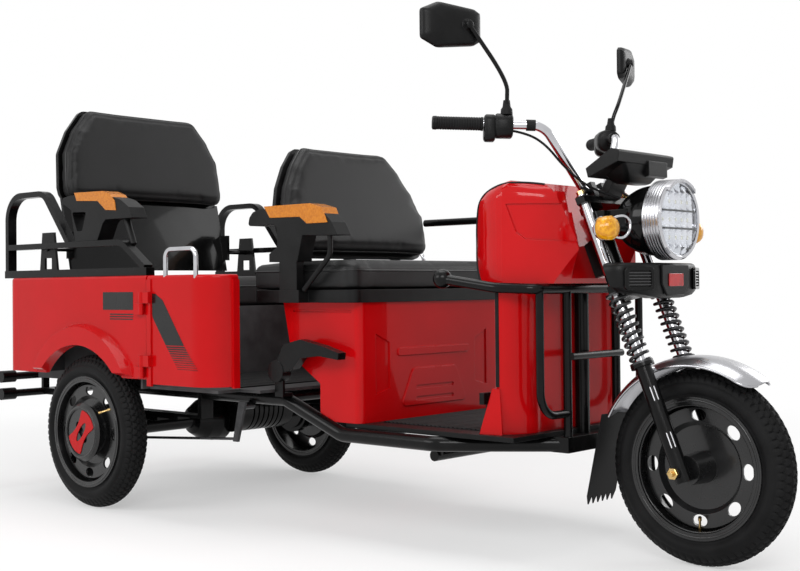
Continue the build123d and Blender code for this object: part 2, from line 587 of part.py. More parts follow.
floor_half = TUB_HALF - 111
floor = block(inner_rear, BOX_REAR - 14, -floor_half, floor_half, FLOOR_LOW, FLOOR_TOP)
floor += block(280, TUB_FRONT - TUB_WALL - 4, -inner_half + 20, inner_half - 20, FLOOR_LOW, FLOOR_TOP)
seat_box = block(inner_rear, SEAT_BOX_FRONT, -inner_half, inner_half, FLOOR_LOW, SEAT_BOX_TOP)
seat_box -= block(inner_rear + SEAT_BOX_WALL, SEAT_BOX_FRONT - SEAT_BOX_WALL, -floor_half, floor_half,
                  FLOOR_TOP, SEAT_BOX_TOP - SEAT_BOX_WALL)
wheel_box = block(SEAT_BOX_FRONT, 270, -inner_half, -floor_half, FLOOR_LOW, 505)
wheel_room = block(-262, 262, -inner_half - 5, -floor_half - SEAT_BOX_WALL, FLOOR_LOW - 5, 497)
tub_floor = floor + seat_box + both_sides(wheel_box) - both_sides(wheel_room)
tub_floor = tub_floor - rear_wall - both_sides(tub_side)
tub_floor -= both_sides(block(inner_rear - 5, rear_split + 180, -inner_half - 5, -floor_half - SEAT_BOX_WALL,
                              FLOOR_LOW - 5, TUB_BOTTOM))
save("tub_floor", tub_floor)
rear_cushion = block(-300, SEAT_BOX_FRONT + 15, -REAR_ARM_IN + 20, REAR_ARM_IN - 20, SEAT_BOX_TOP + FIT, SEAT_BOX_TOP + 90)
rear_cushion = fillet(rear_cushion.edges().filter_by(Axis.Z), radius=40)
rear_cushion = soften(rear_cushion, 26, SEAT_BOX_TOP + 89, SEAT_BOX_TOP + 91)
save("rear_cushion", soften(rear_cushion, 10, SEAT_BOX_TOP, SEAT_BOX_TOP + 1))

# Side rails on the tub's upper edge

rail_width = 30.0
rail_depth = 18.0
rail_section = Rectangle(rail_width, rail_depth)
low_rail_z = 797.0
low_rail_top = low_rail_z + rail_depth / 2
hoop = bent_bar([(-476, -RAIL_Y, STRIP_TOP), (-476, -RAIL_Y, 964), (-262, -RAIL_Y, 964), (-122, -RAIL_Y, low_rail_z)],
                [80, 60], rail_section)
low_rail = bent_bar([(-474, -RAIL_Y, low_rail_z), (150, -RAIL_Y, low_rail_z), (262, -RAIL_Y, STRIP_TOP)], 60, rail_section)
strip = block(-490, 275, -RAIL_Y - rail_width / 2, -RAIL_Y + rail_width / 2, TUB_TOP, STRIP_TOP)
side_rail = hoop + low_rail + strip
side_rail = side_rail & block(-500, 290, -600, 0, TUB_TOP, 1100)
save_pair("side_rail", side_rail)

# Rear backrest on its folding brackets

bracket_out = -BRACKET_Y - BRACKET_THICK / 2
bracket_in = -BRACKET_Y + BRACKET_THICK / 2
bracket = side_plate([(-345, TUB_TOP), (-240, TUB_TOP), (-262, 842), (-328, 842)], bracket_out, bracket_in)
bracket -= rod((FOLD_X, bracket_out - 2, FOLD_Z), (FOLD_X, bracket_in + 2, FOLD_Z), FOLD_PIN + FIT)
bracket -= block(-314, -274, bracket_out - 2, bracket_in + 2, 725, 760)
bracket += block(-345, -240, -BRACKET_Y - 10, -TUB_HALF + EDGE_WIDTH, TUB_TOP, TUB_TOP + 5)
save("backrest_brackets", both_sides(bracket))

rear_back = (-360.0, 0.0, 952.0)
rear_outline = ((REAR_BACK_HALF - 8, 0), (REAR_BACK_HALF, 45), (REAR_BACK_HALF - 8, 160), (REAR_BACK_HALF - 48, 240),
                (REAR_BACK_HALF - 108, 314))
rear_shell = backrest(rear_back, REAR_LEAN, rear_outline, SHELL_THICK, -FIT)
panel_half = REAR_BACK_HALF - 6
lower_panel = side_plate([(-312, 722), (-300, 722), (-355, 962), (-368, 962)], -panel_half, panel_half)
ear = block(FOLD_X - 34, FOLD_X + 12, -panel_half, -panel_half + 10, FOLD_Z - 30, FOLD_Z + 60)
fold_pin = rod((FOLD_X, bracket_out - 5, FOLD_Z), (FOLD_X, -panel_half + 9, FOLD_Z), FOLD_PIN)
lower_panel += both_sides(ear + fold_pin)
rear_shell = rear_shell + lower_panel - backrest(rear_back, REAR_LEAN, rear_outline, 0, REAR_PAD + 30)
save("rear_backrest", backrest(rear_back, REAR_LEAN, rear_outline, 0, REAR_PAD, 22))
save("rear_backrest_shell", rear_shell)

# Rear armrests and all amber reflectors

rear_arm_outline = [(-162, 928), (-154, 944), (-118, 950), (60, 946), (92, 937), (144, 924), (186, 900), (203, 868),
                    (70, 868), (56, 858), (26, low_rail_top), (-91, low_rail_top), (-112, 905), (-130, 914)]
rear_arm = side_plate(rear_arm_outline, -REAR_ARM_OUT, -REAR_ARM_IN)
rear_arm = fillet(rear_arm.edges().filter_by(Axis.Y).sort_by(Axis.X)[:2], radius=6)
arm_window = side_plate([(-108, 897), (-31, 895), (-53, 837), (-80, 838)], -REAR_ARM_OUT - 5, -REAR_ARM_IN + 5)
arm_window = fillet(arm_window.edges().filter_by(Axis.Y), radius=6)
tube_y = (REAR_ARM_IN + REAR_ARM_OUT) / 2
rear_arm += rod((136, -tube_y, 872), (172, -tube_y, low_rail_z - 6), 10)
rear_reflector = side_plate([(-92, 957), (58, 954), (94, 943), (118, 922), (124, 893), (73, 896), (32, 925), (-79, 931)],
                            -REAR_ARM_OUT - 2, -REAR_ARM_IN)
rear_arm = rear_arm - arm_window - side_rail - rear_reflector
save("rear_armrests", both_sides(rear_arm))
save("armrest_reflectors", both_sides(rear_reflector) + rider_reflector)

# Tail lamps on the rear wall

lamp = block(TUB_REAR - 8, TUB_REAR, -TUB_HALF + 45, -TUB_HALF + 100, 520, 640)
save("tail_lamps", both_sides(lamp))

# Rear axle with drum plates, differential and motor, leaf springs

axle = rod((0, -DRUM_OUT, TYRE_RADIUS), (0, DRUM_OUT, TYRE_RADIUS), AXLE_TUBE)
axle += both_sides(rod((0, -TRACK / 2 + 16, TYRE_RADIUS), (0, -DRUM_OUT + 5, TYRE_RADIUS), SPINDLE_RADIUS))
axle += both_sides(rod((0, -DRUM_OUT, TYRE_RADIUS), (0, -DRUM_OUT + 30, TYRE_RADIUS), DRUM_RADIUS))
case = revolve(make_face(Polyline((0, -96), (44, -78), (66, -40), (72, 0), (72, 34), (50, 64), (0, 84), close=True)),
               Axis.Y)
axle += Pos(0, 0, TYRE_RADIUS) * case
motor_x = 75.0
motor_z = TYRE_RADIUS + 30
motor_end = RAIL_HALF - 62
motor = rod((motor_x, 20, motor_z), (motor_x, motor_end, motor_z), 72)
for number in range(7):
    fin_y = 60 + number * (motor_end - 90) / 7
    motor -= rod((motor_x, fin_y, motor_z), (motor_x, fin_y + 6, motor_z), 90) - rod(
        (motor_x, fin_y - 1, motor_z), (motor_x, fin_y + 7, motor_z), 66)
axle += motor
axle += both_sides(rod((0, -DRUM_OUT + 30, TYRE_RADIUS), (0, -DRUM_OUT + 38, TYRE_RADIUS), DRUM_RADIUS - 14))
save("rear_axle", axle)

leaf_y0 = -RAIL_HALF - LEAF_HALF_WIDTH
leaf_y1 = -RAIL_HALF + LEAF_HALF_WIDTH
leaf_top = 286.0
leaves = Part()
for number, reach in enumerate((350.0, 240.0, 140.0)):
    top = leaf_top - number * LEAF_THICK
    leaves += block(-reach, reach, leaf_y0, leaf_y1, top - LEAF_THICK, top)
leaves += block(-30, 30, leaf_y0, leaf_y1, TYRE_RADIUS + 10, leaf_top)
for end_x in (-342.0, 342.0):
    leaves += block(end_x - 8, end_x + 8, leaf_y0, leaf_y1, leaf_top - LEAF_THICK, RAIL_HIGH)
save("leaf_springs", both_sides(leaves - frame - axle))

# Hand brake, its rod and arm, and the foot pedal

BRAKE_Y = RAIL_HALF + 38
brake_out = -BRAKE_Y - 14
brake_in = -BRAKE_Y + 14
lever = side_plate([(690, 430), (735, 505), (800, 520), (880, 505), (945, 488), (942, 470), (870, 478), (800, 470),
                    (770, 440), (720, 425)], brake_out, brake_in)
lever += rod((705, brake_out - 2, 432), (705, brake_in + 2, 432), 30)
lever += block(690, 722, -BRAKE_Y - 4, -BRAKE_Y + 4, RAIL_HIGH + 12, 430)
lever += block(690, 722, -BRAKE_Y - 4, -RAIL_HALF - 5, RAIL_HIGH + 10, RAIL_HIGH + 20)
save("hand_brake", lever - frame)
arm_x = 553.0
link = side_plate([(arm_x - 14, 340), (arm_x + 14, 340), (arm_x - 20, 226), (arm_x - 40, 226)], -BRAKE_Y - 4, -BRAKE_Y + 4)
link += rod((arm_x, -BRAKE_Y - 4, RAIL_HIGH - 24), (arm_x, -RAIL_HALF, RAIL_HIGH - 24), 10)
link += rod((arm_x - 30, -BRAKE_Y, 234), (58, -BRAKE_Y, 204), 4)
link += block(48, 68, -DRUM_OUT + 38, -BRAKE_Y + 6, 196, 212)
save("brake_linkage", link - frame)
pedal_x = SHIELD_X - 74
pedal = block(pedal_x, pedal_x + 16, -250, -225, FLOORBOARD_TOP, 380)
pedal += block(pedal_x, pedal_x + 14, -275, -205, 372, 400)
save("brake_pedal", pedal)

# Fork legs, stanchions, springs and clamps, all in the fork's own frame

leg = Pos(0, -FORK_HALF, (LEG_TOP - LEG_TAIL) / 2) * Cylinder(LEG_RADIUS, LEG_TOP + LEG_TAIL)
leg += Pos(0, -FORK_HALF, LEG_TOP - 4) * Cylinder(SPRING_RADIUS + 2, 8)
leg -= rod((0, -FORK_HALF - 40, 0), (0, -FORK_HALF + 40, 0), AXLE_RADIUS + FIT)
legs = both_sides(leg)
save("fork_legs", on_fork(legs))
stanchion_top = UPPER_CLAMP + CLAMP_THICK + 6
stanchion = Pos(0, -FORK_HALF, (LEG_TOP + stanchion_top) / 2) * Cylinder(STANCHION_RADIUS, stanchion_top - LEG_TOP)
save("fork_tubes", on_fork(both_sides(stanchion)))

spring_low = LEG_TOP + FIT
spring_high = LOWER_CLAMP - FIT
coil_height = spring_high - spring_low - 2 * SPRING_SEAT
coil_path = Helix(coil_height / SPRING_TURNS, coil_height, SPRING_RADIUS - SPRING_WIRE / 2)
coil_start = Plane(origin=coil_path @ 0, z_dir=coil_path % 0)
coil = sweep(coil_start * Circle(SPRING_WIRE / 2), path=coil_path, is_frenet=True)
seat = Cylinder(SPRING_RADIUS + 1.5, SPRING_SEAT) - Cylinder(STANCHION_RADIUS + FIT, SPRING_SEAT)
spring = Pos(0, 0, SPRING_SEAT) * coil
spring += Pos(0, 0, SPRING_SEAT / 2) * seat + Pos(0, 0, spring_high - spring_low - SPRING_SEAT / 2) * seat
save("fork_springs", on_fork(both_sides(Pos(0, -FORK_HALF, spring_low) * spring)))


def clamp_plate(low):
    outline = Polyline((-64, -24), (-64, 24), (-30, 60), (-6, FORK_HALF + 24), (16, FORK_HALF + 20),
                       (16, -FORK_HALF - 20), (-6, -FORK_HALF - 24), (-30, -60), close=True)
    plate = Pos(0, 0, low) * extrude(make_face(outline), amount=CLAMP_THICK)
    hole = Pos(0, -FORK_HALF, low + CLAMP_THICK / 2) * Cylinder(STANCHION_RADIUS + FIT, CLAMP_THICK + 2)
    return plate - both_sides(hole)


clamp_top = UPPER_CLAMP + CLAMP_THICK
bar_centre = fork_point(BAR_SETBACK, 0, clamp_top + BAR_LIFT)
bar_bend = bar_centre + Vector(-37, -165, 153)
tip = bar_centre + Vector(-227, -341, 162)
bar = both_sides(bent_tube([bar_centre, bar_centre + Vector(0, -50, 0), bar_bend, tip], [30, 60], BAR_RADIUS))
horn_back = 34.0
clamps = clamp_plate(LOWER_CLAMP) + clamp_plate(UPPER_CLAMP)
clamps += block(10, horn_back, -36, 36, LOWER_CLAMP, LOWER_CLAMP + CLAMP_THICK)
clamps += Pos(-FORK_OFFSET, 0, (LOWER_CLAMP + clamp_top) / 2) * Cylinder(STEM_RADIUS, clamp_top - LOWER_CLAMP)
riser_top = clamp_top + BAR_LIFT + BAR_RADIUS + 6
clamps += both_sides(block(-34, -2, -33, -13, clamp_top, riser_top))
save("triple_clamps", on_fork(clamps) - bar)
axle_rod = rod((0, -FORK_HALF - LEG_RADIUS - 8, 0), (0, FORK_HALF + LEG_RADIUS + 8, 0), AXLE_RADIUS)
axle_rod += both_sides(rod((0, -FORK_HALF - LEG_RADIUS - 12, 0), (0, -FORK_HALF - LEG_RADIUS, 0), 12))
save("front_axle", on_fork(axle_rod))

# Handlebar, grips, switch pods, mirrors and dash

save("handlebar", bar)
grip_dir = (tip - bar_bend).normalized()
grip_place = Plane(origin=tip, z_dir=grip_dir) * Pos(0, 0, 6 - GRIP_LENGTH / 2)
save("grips", both_sides(grip_place * Cylinder(GRIP_RADIUS, GRIP_LENGTH) - bar))
pod_length = 70.0
pod_place = Plane(origin=tip - grip_dir * (GRIP_LENGTH - 6 + pod_length / 2 + 1), z_dir=grip_dir)
pod = pod_place * Box(52, 56, pod_length)
pods = both_sides(pod - bar)
save("switch_pods", pods)
mirror_head = soften(extrude(fillet(Rectangle(105, 160).vertices(), 34), amount=-24), 10, -25, -23)
mirror_centre = tip + Vector(76, -41, 217)
mirror_head = Pos(*mirror_centre) * Rot(0, 0, -20) * Rot(0, -90, 0) * mirror_head
stalk = bent_tube([tip + Vector(129, 109, 5), tip + Vector(146, 91, 95), tip + Vector(72, -39, 215)], 25, 5.5)
save("mirrors", both_sides(mirror_head + stalk - pod))
dash_half = 127.0
dash_side = [(63, 23), (147, 57), (151, 83), (129, 89), (57, 45)]
dash_foot = [(25, -31), (53, -21), (91, 43), (59, 33)]
to_bar = Pos(bar_centre.X, 0, bar_centre.Z)
dash = to_bar * side_plate(dash_side, -dash_half, dash_half)
dash = fillet(dash.edges().filter_by(Axis.Y).sort_by(Axis.Z)[-2:], radius=5)
dash += to_bar * side_plate([(140, 26), (152, 30), (152, 66), (140, 62)], 5, 92)
dash += (to_bar * side_plate(dash_foot, -34, 34)) - on_fork(clamps)
save("dash", dash - bar)

# Headlight, horn box and turn signals

lamp_centre = fork_point(LAMP_AHEAD, 0, UPPER_CLAMP - LAMP_DROP)
LAMP_X = lamp_centre.X
LAMP_Z = lamp_centre.Z
bezel_back = -BEZEL_DEPTH
bucket_radius = LAMP_RADIUS - 12
bucket_side = [Line((-150, 0), (-150, 38)), ThreePointArc((-150, 38), (-112, 72), (bezel_back - 8, bucket_radius)),
               Line((bezel_back - 8, bucket_radius), (bezel_back, bucket_radius)),
               Line((bezel_back, bucket_radius), (bezel_back, 0)), Line((bezel_back, 0), (-150, 0))]
bucket_face = Plane.XZ * make_face(bucket_side)
to_lamp = Pos(LAMP_X, 0, LAMP_Z)
bucket = to_lamp * revolve(bucket_face, Axis.X)
ear_plate = side_plate([(-190, -14), (-147, -22), (-147, 26), (-195, 24)], -92, -66)
ear_plate += side_plate([(-155, -22), (-95, -27), (-95, 28), (-155, 26)], -78, -60)
bucket += both_sides(to_lamp * ear_plate - on_fork(stanchion))
save("headlight_bucket", bucket)
inner = LAMP_RADIUS - BEZEL_WALL
bezel = rod((bezel_back, 0, 0), (0, 0, 0), LAMP_RADIUS)
for number in range(5):
    groove_x = bezel_back + 5 + number * 7
    bezel -= rod((groove_x, 0, 0), (groove_x + 3, 0, 0), LAMP_RADIUS + 5) - rod(
        (groove_x - 1, 0, 0), (groove_x + 4, 0, 0), LAMP_RADIUS - 2)
bezel += rod((0, 0, 0), (VISOR, 0, 0), LAMP_RADIUS) & block(0, VISOR, -60, 60, 60, LAMP_RADIUS + 1)
bezel -= rod((-LENS_DEPTH - 4, 0, 0), (VISOR + 1, 0, 0), inner)
save("headlight_bezel", to_lamp * bezel)
lens = rod((-LENS_DEPTH - 4, 0, 0), (-6, 0, 0), inner - FIT)
lens += rod((-6, 0, 0), (-2, 0, 0), inner - 6)
save("headlight_lens", to_lamp * lens)
horn_place = fork_point(horn_back, 0, LOWER_CLAMP) + Vector(0, 0, -25.7)
horn_plan = fillet(make_face(Polyline((-67, -180), (26, -180), (57, -120), (65, -76), (65, 76), (57, 120), (26, 180),
                                      (-67, 180), close=True)).vertices().sort_by(Axis.X)[2:], 12)
horn = extrude(horn_plan, amount=85)
horn -= both_sides(block(48, 70, -160, -86, 27, 78))
horn -= block(60, 70, 48, 68, 30, 74)
horn += block(54, 68, -66, 42, 22, 84)
horn -= Pos(66, -2, 49) * Rot(0, 90, 0) * extrude(RectangleRounded(34, 70, 4), amount=6)
horn = Pos(*horn_place) * horn
horn -= on_fork(block(-200, horn_back, -300, 300, 300, 700))
save("horn_box", horn)
signal_x = LAMP_X - 45
signal = rod((signal_x - 40, -198, LAMP_Z - 23), (signal_x - 6, -198, LAMP_Z - 23), SIGNAL_RADIUS)
signal += to_lamp * Pos(-51, -198, -23) * Rot(0, 90, 0) * Cone(SIGNAL_RADIUS, SIGNAL_RADIUS - 5, 6, align=Align.NONE)
signal += rod((LAMP_X - 95, -74, LAMP_Z - 6), (LAMP_X - 67, -180, LAMP_Z - 20), 6)
save("turn_signals", both_sides(signal - bucket))

# Front fender and mud flap

fender_radius = TYRE_RADIUS + 32
fender_half = 64.0
fender_lip = 22.0
sheet = 3.0
half_section = [(fender_radius - fender_lip, fender_half), (fender_radius - 6, fender_half),
                (fender_radius, fender_half - fender_lip)]
half_inside = [(fender_radius - sheet, fender_half - fender_lip - 1), (fender_radius - 6 - sheet, fender_half - sheet),
               (fender_radius - fender_lip, fender_half - sheet)]
fender_section = half_section + [(r, -y) for r, y in reversed(half_section)]
fender_section += [(r, -y) for r, y in reversed(half_inside)] + half_inside
fender_front = 52.0
fender_rear = 154.0
fender = revolve(make_face(Polyline(*fender_section, close=True)), Axis.Y, revolution_arc=fender_rear - fender_front)
fender = front_place * Rot(0, -fender_rear, 0) * fender
bracket_low = fender_radius - fender_lip - 10
fender_bracket = block(-14, 14, -FORK_HALF + LEG_RADIUS - 4, -fender_half + 2, bracket_low, fender_radius - 8)
fender += on_fork(both_sides(fender_bracket) - legs)
save("front_fender", fender)
tail_angle = math.radians(fender_rear)
tail_x = WHEELBASE + (fender_radius - 2) * math.cos(tail_angle)
tail_z = TYRE_RADIUS + (fender_radius - 2) * math.sin(tail_angle)
flap_low_x = tail_x - 50
flap_low_z = tail_z - 225
flap = side_plate([(tail_x, tail_z), (tail_x + 3, tail_z), (flap_low_x + 3, flap_low_z), (flap_low_x, flap_low_z)],
                  -fender_half, fender_half)
tooth = 2 * fender_half / 6
notch = extrude(make_face(Polyline((-tooth / 2, -1), (tooth / 2, -1), (0, 22), close=True)), amount=30, both=True)
for number in range(7):
    notch_y = -fender_half + number * tooth
    flap -= Pos(flap_low_x, notch_y, flap_low_z) * Rot(0, 0, 90) * Rot(90, 0, 0) * notch
save("mud_flap", flap - fender)
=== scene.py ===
import json
import math
import bmesh
import bpy
import numpy as np
from mathutils import Matrix, Vector
from mathutils.bvhtree import BVHTree


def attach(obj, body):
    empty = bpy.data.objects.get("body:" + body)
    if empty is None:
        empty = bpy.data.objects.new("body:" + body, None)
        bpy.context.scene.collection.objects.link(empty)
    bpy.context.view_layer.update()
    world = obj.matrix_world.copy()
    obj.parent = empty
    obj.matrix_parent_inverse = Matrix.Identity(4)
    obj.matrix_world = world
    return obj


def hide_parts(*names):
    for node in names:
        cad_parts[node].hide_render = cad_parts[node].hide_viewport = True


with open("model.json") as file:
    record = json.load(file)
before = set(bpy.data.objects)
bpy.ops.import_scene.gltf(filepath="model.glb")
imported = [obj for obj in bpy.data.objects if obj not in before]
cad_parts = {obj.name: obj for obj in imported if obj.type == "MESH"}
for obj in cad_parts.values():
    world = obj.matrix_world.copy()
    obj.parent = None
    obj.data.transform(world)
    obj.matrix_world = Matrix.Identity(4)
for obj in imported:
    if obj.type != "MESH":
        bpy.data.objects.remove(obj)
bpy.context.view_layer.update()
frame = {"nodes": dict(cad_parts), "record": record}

nodes = frame["nodes"]
scene = bpy.context.scene

# Sizes shared with the CAD, in metres, X counted from the rear axle
SHIFT_X = 0.715
WHEELBASE = 1.79
HUB_HEIGHT = 0.23
HALF_TRACK = 0.4445
TUB_SIDE = 0.485
RAKE = math.radians(22.0)
LEG_Y = 0.1
SIDES = ((-1, "right"), (1, "left"))
SKIN = 0.0006
FRONT_FACE = ((0, 1, 0), (0, 0, 1))
REAR_FACE = ((0, -1, 0), (0, 0, 1))

# The photograph's camera: width, focal length and shift in pixels, sensor in millimetres, angles in degrees
PHOTO_WIDTH = 800
FOCAL_LENGTH = 1243.25
VIEW_SHIFT = -14.62
SENSOR = 36
AZIMUTH, ELEVATION, ROLL = 41.881, -0.7, -0.528


def at(x, y, z):
    """A point given along the rear axle's X, in metres, moved into the model's frame."""
    return Vector((x - SHIFT_X, y, z))


def add_camera():
    azimuth, elevation, roll = (math.radians(angle) for angle in (AZIMUTH, ELEVATION, ROLL))
    forward = Vector((-math.sin(azimuth) * math.cos(elevation), math.cos(azimuth) * math.cos(elevation),
                      -math.sin(elevation)))
    right = Vector((math.cos(azimuth), math.sin(azimuth), 0))
    up = right.cross(forward)
    axis_x = math.cos(roll) * right + math.sin(roll) * up
    axis_y = -math.sin(roll) * right + math.cos(roll) * up
    data = bpy.data.cameras.new("camera")
    data.sensor_width = SENSOR
    data.lens = FOCAL_LENGTH / PHOTO_WIDTH * SENSOR
    data.shift_y = VIEW_SHIFT / PHOTO_WIDTH
    camera = bpy.data.objects.new("camera", data)
    place = Matrix((axis_x, axis_y, -forward)).transposed().to_4x4()
    place.translation = at(3.213, -2.64, 0.66)
    camera.matrix_world = place
    scene.collection.objects.link(camera)
    scene.camera = camera


def new_node(tree, kind, values=None, **settings):
    """Adds a shader node with its settings and the values of its inputs."""
    node = tree.nodes.new("ShaderNode" + kind)
    for name, setting in settings.items():
        setattr(node, name, setting)
    for socket, value in (values or {}).items():
        node.inputs[socket].default_value = value
    return node


def wire(tree, *joins):
    """Joins each (node, output) to a (node, input)."""
    for start, output, end, socket in joins:
        tree.links.new(start.outputs[output], end.inputs[socket])


# Studio: a pale floor that fades into a white surround, and soft lights

FLOOR_EDGE = 16.0
SOFTBOXES = (
    ("softbox_front", (3.0, -3.2, 2.7), (0.3, 0, 0.5), 2.2, 1.4, 78),
    ("softbox_side", (-1.4, -3.8, 2.5), (-0.3, 0, 0.5), 2.6, 1.6, 62),
    ("softbox_top", (0.0, 0.0, 4.2), (0.0, 0, 0), 3.4, 2.2, 80),
    ("softbox_left", (1.5, 3.8, 2.2), (0.2, 0, 0.6), 2.4, 1.6, 40),
)


def add_softbox(name, place, target, size_x, size_y, power):
    data = bpy.data.lights.new(name, "AREA")
    data.shape = "RECTANGLE"
    data.size = size_x
    data.size_y = size_y
    data.energy = power
    light = bpy.data.objects.new(name, data)
    turned = (Vector(target) - Vector(place)).to_track_quat("-Z", "Y").to_matrix().to_4x4()
    light.matrix_world = Matrix.Translation(place) @ turned
    scene.collection.objects.link(light)


def seen_directly(tree):
    """Value of 1 for camera, glossy and transmission rays, else 0."""
    path = new_node(tree, "LightPath")
    seen = path.outputs["Is Camera Ray"]
    for kind in ("Is Glossy Ray", "Is Transmission Ray"):
        either = new_node(tree, "Math", operation="MAXIMUM")
        tree.links.new(seen, either.inputs[0])
        tree.links.new(path.outputs[kind], either.inputs[1])
        seen = either.outputs[0]
    return seen


def floor_finish():
    """Pale floor that turns into plain white light away from the middle, where it is seen directly."""
    finish = bpy.data.materials.new("floor_finish")
    finish.use_nodes = True
    tree = finish.node_tree
    shader, surface = tree.nodes["Principled BSDF"], tree.nodes["Material Output"]
    shader.inputs["Base Color"].default_value = (0.96, 0.96, 0.96, 1)
    shader.inputs["Roughness"].default_value = 0.8
    shader.inputs["Specular IOR Level"].default_value = 0.2
    place = new_node(tree, "TexCoord")
    away = new_node(tree, "VectorMath", operation="LENGTH")
    fade = new_node(tree, "MapRange", {"To Min": 0.45, "From Min": 1.6, "From Max": 3.8},
                    interpolation_type="SMOOTHSTEP")
    white = new_node(tree, "Emission", {"Strength": 1.0})
    mixed = new_node(tree, "MixShader")
    reach = new_node(tree, "Math", operation="MULTIPLY")
    wire(tree, (place, "Object", away, 0), (away, "Value", fade, "Value"), (fade, "Result", reach, 0),
         (reach, 0, mixed, 0), (shader, 0, mixed, 1), (white, 0, mixed, 2), (mixed, 0, surface, "Surface"))
    tree.links.new(seen_directly(tree), reach.inputs[1])
    return finish


def add_studio():
    world = bpy.data.worlds.new("studio")
    world.use_nodes = True
    tree = world.node_tree
    background = tree.nodes["Background"]
    background.inputs["Color"].default_value = (1, 1, 1, 1)
    level = new_node(tree, "MapRange", {"To Min": 0.36, "To Max": 1.0})
    tree.links.new(seen_directly(tree), level.inputs["Value"])
    wire(tree, (level, "Result", background, "Strength"))
    scene.world = world
    for softbox in SOFTBOXES:
        add_softbox(*softbox)
    corners = [(x * FLOOR_EDGE, y * FLOOR_EDGE, 0) for x, y in ((-1, -1), (1, -1), (1, 1), (-1, 1))]
    mesh = bpy.data.meshes.new("floor")
    mesh.from_pydata(corners, [], [(0, 1, 2, 3)])
    floor = bpy.data.objects.new("floor", mesh)
    scene.collection.objects.link(floor)
    mesh.materials.append(floor_finish())
    scene.view_settings.view_transform = "Standard"
    scene.view_settings.look = "None"


# Materials. Each has its colour, gloss and fine relief from noise on Object coordinates

def detail_group():
    """Shared relief: fine grain plus broad unevenness as a height, mottling, and dust on upward faces."""
    group = bpy.data.node_groups.new("surface_detail", "ShaderNodeTree")
    for way, sockets in (("INPUT", ("Grain Scale", "Broad Scale")), ("OUTPUT", ("Height", "Mottle", "Dust"))):
        for socket in sockets:
            group.interface.new_socket(socket, in_out=way, socket_type="NodeSocketFloat")
    start, end = group.nodes.new("NodeGroupInput"), group.nodes.new("NodeGroupOutput")
    place = new_node(group, "TexCoord")
    fine = new_node(group, "TexNoise", {"Detail": 4})
    broad = new_node(group, "TexNoise", {"Detail": 3})
    total = new_node(group, "Math", operation="ADD")
    shape = new_node(group, "NewGeometry")
    split = new_node(group, "SeparateXYZ")
    dust = new_node(group, "Math", operation="MULTIPLY")
    upward = new_node(group, "MapRange", {"From Min": 0.3})
    wire(group, (place, "Object", fine, "Vector"), (place, "Object", broad, "Vector"),
         (start, "Grain Scale", fine, "Scale"), (start, "Broad Scale", broad, "Scale"),
         (fine, "Fac", total, 0), (broad, "Fac", total, 1), (shape, "Normal", split, 0),
         (split, "Z", upward, "Value"), (upward, "Result", dust, 0), (broad, "Fac", dust, 1),
         (total, 0, end, "Height"), (broad, "Fac", end, "Mottle"), (dust, 0, end, "Dust"))
    return group


DETAIL = detail_group()
def finish_of(name, tone, rough, grain, broad, relief, metallic=0.0, coat=0.0, coat_rough=0.03, spread=0.08,
              specular=0.5, transmission=0.0, ior=1.5, dust=0.12, edge=0.0):
    """A material: its colour mixes the two of its tone by the mottling, dust roughens it, and noise of two
    scales gives a relief in metres."""
    material = bpy.data.materials.new(name)
    material.use_nodes = True
    tree = material.node_tree
    shader = tree.nodes["Principled BSDF"]
    for socket, value in (("Metallic", metallic), ("Coat Weight", coat), ("Coat Roughness", coat_rough),
                          ("Specular IOR Level", specular), ("Transmission Weight", transmission),
                          ("IOR", ior)):
        shader.inputs[socket].default_value = value
    detail = new_node(tree, "Group", {"Grain Scale": grain, "Broad Scale": broad}, node_tree=DETAIL)
    ramp = new_node(tree, "ValToRGB")
    for element, place, colour in zip(ramp.color_ramp.elements, (0.35, 0.65), tone):
        element.position = place
        element.color = (*colour, 1)
    gloss = new_node(tree, "MapRange", {"To Min": max(0, rough - spread), "To Max": min(1, rough + spread)})
    dulled = new_node(tree, "Math", {1: dust}, operation="MULTIPLY_ADD")
    bump = new_node(tree, "Bump", {"Strength": 1.0, "Distance": relief})
    wire(tree, (detail, "Mottle", ramp, "Fac"), (detail, "Mottle", gloss, "Value"),
         (detail, "Height", bump, "Height"), (detail, "Dust", dulled, 0), (gloss, "Result", dulled, 2),
         (ramp, "Color", shader, "Base Color"), (dulled, 0, shader, "Roughness"),
         (bump, "Normal", shader, "Normal"))
    if edge:
        rounding = new_node(tree, "Bevel", {"Radius": edge}, samples=4)
        wire(tree, (rounding, "Normal", bump, "Normal"))
    return material


def grey(low, high):
    return (low, low, low * 1.04), (high, high, high * 1.04)


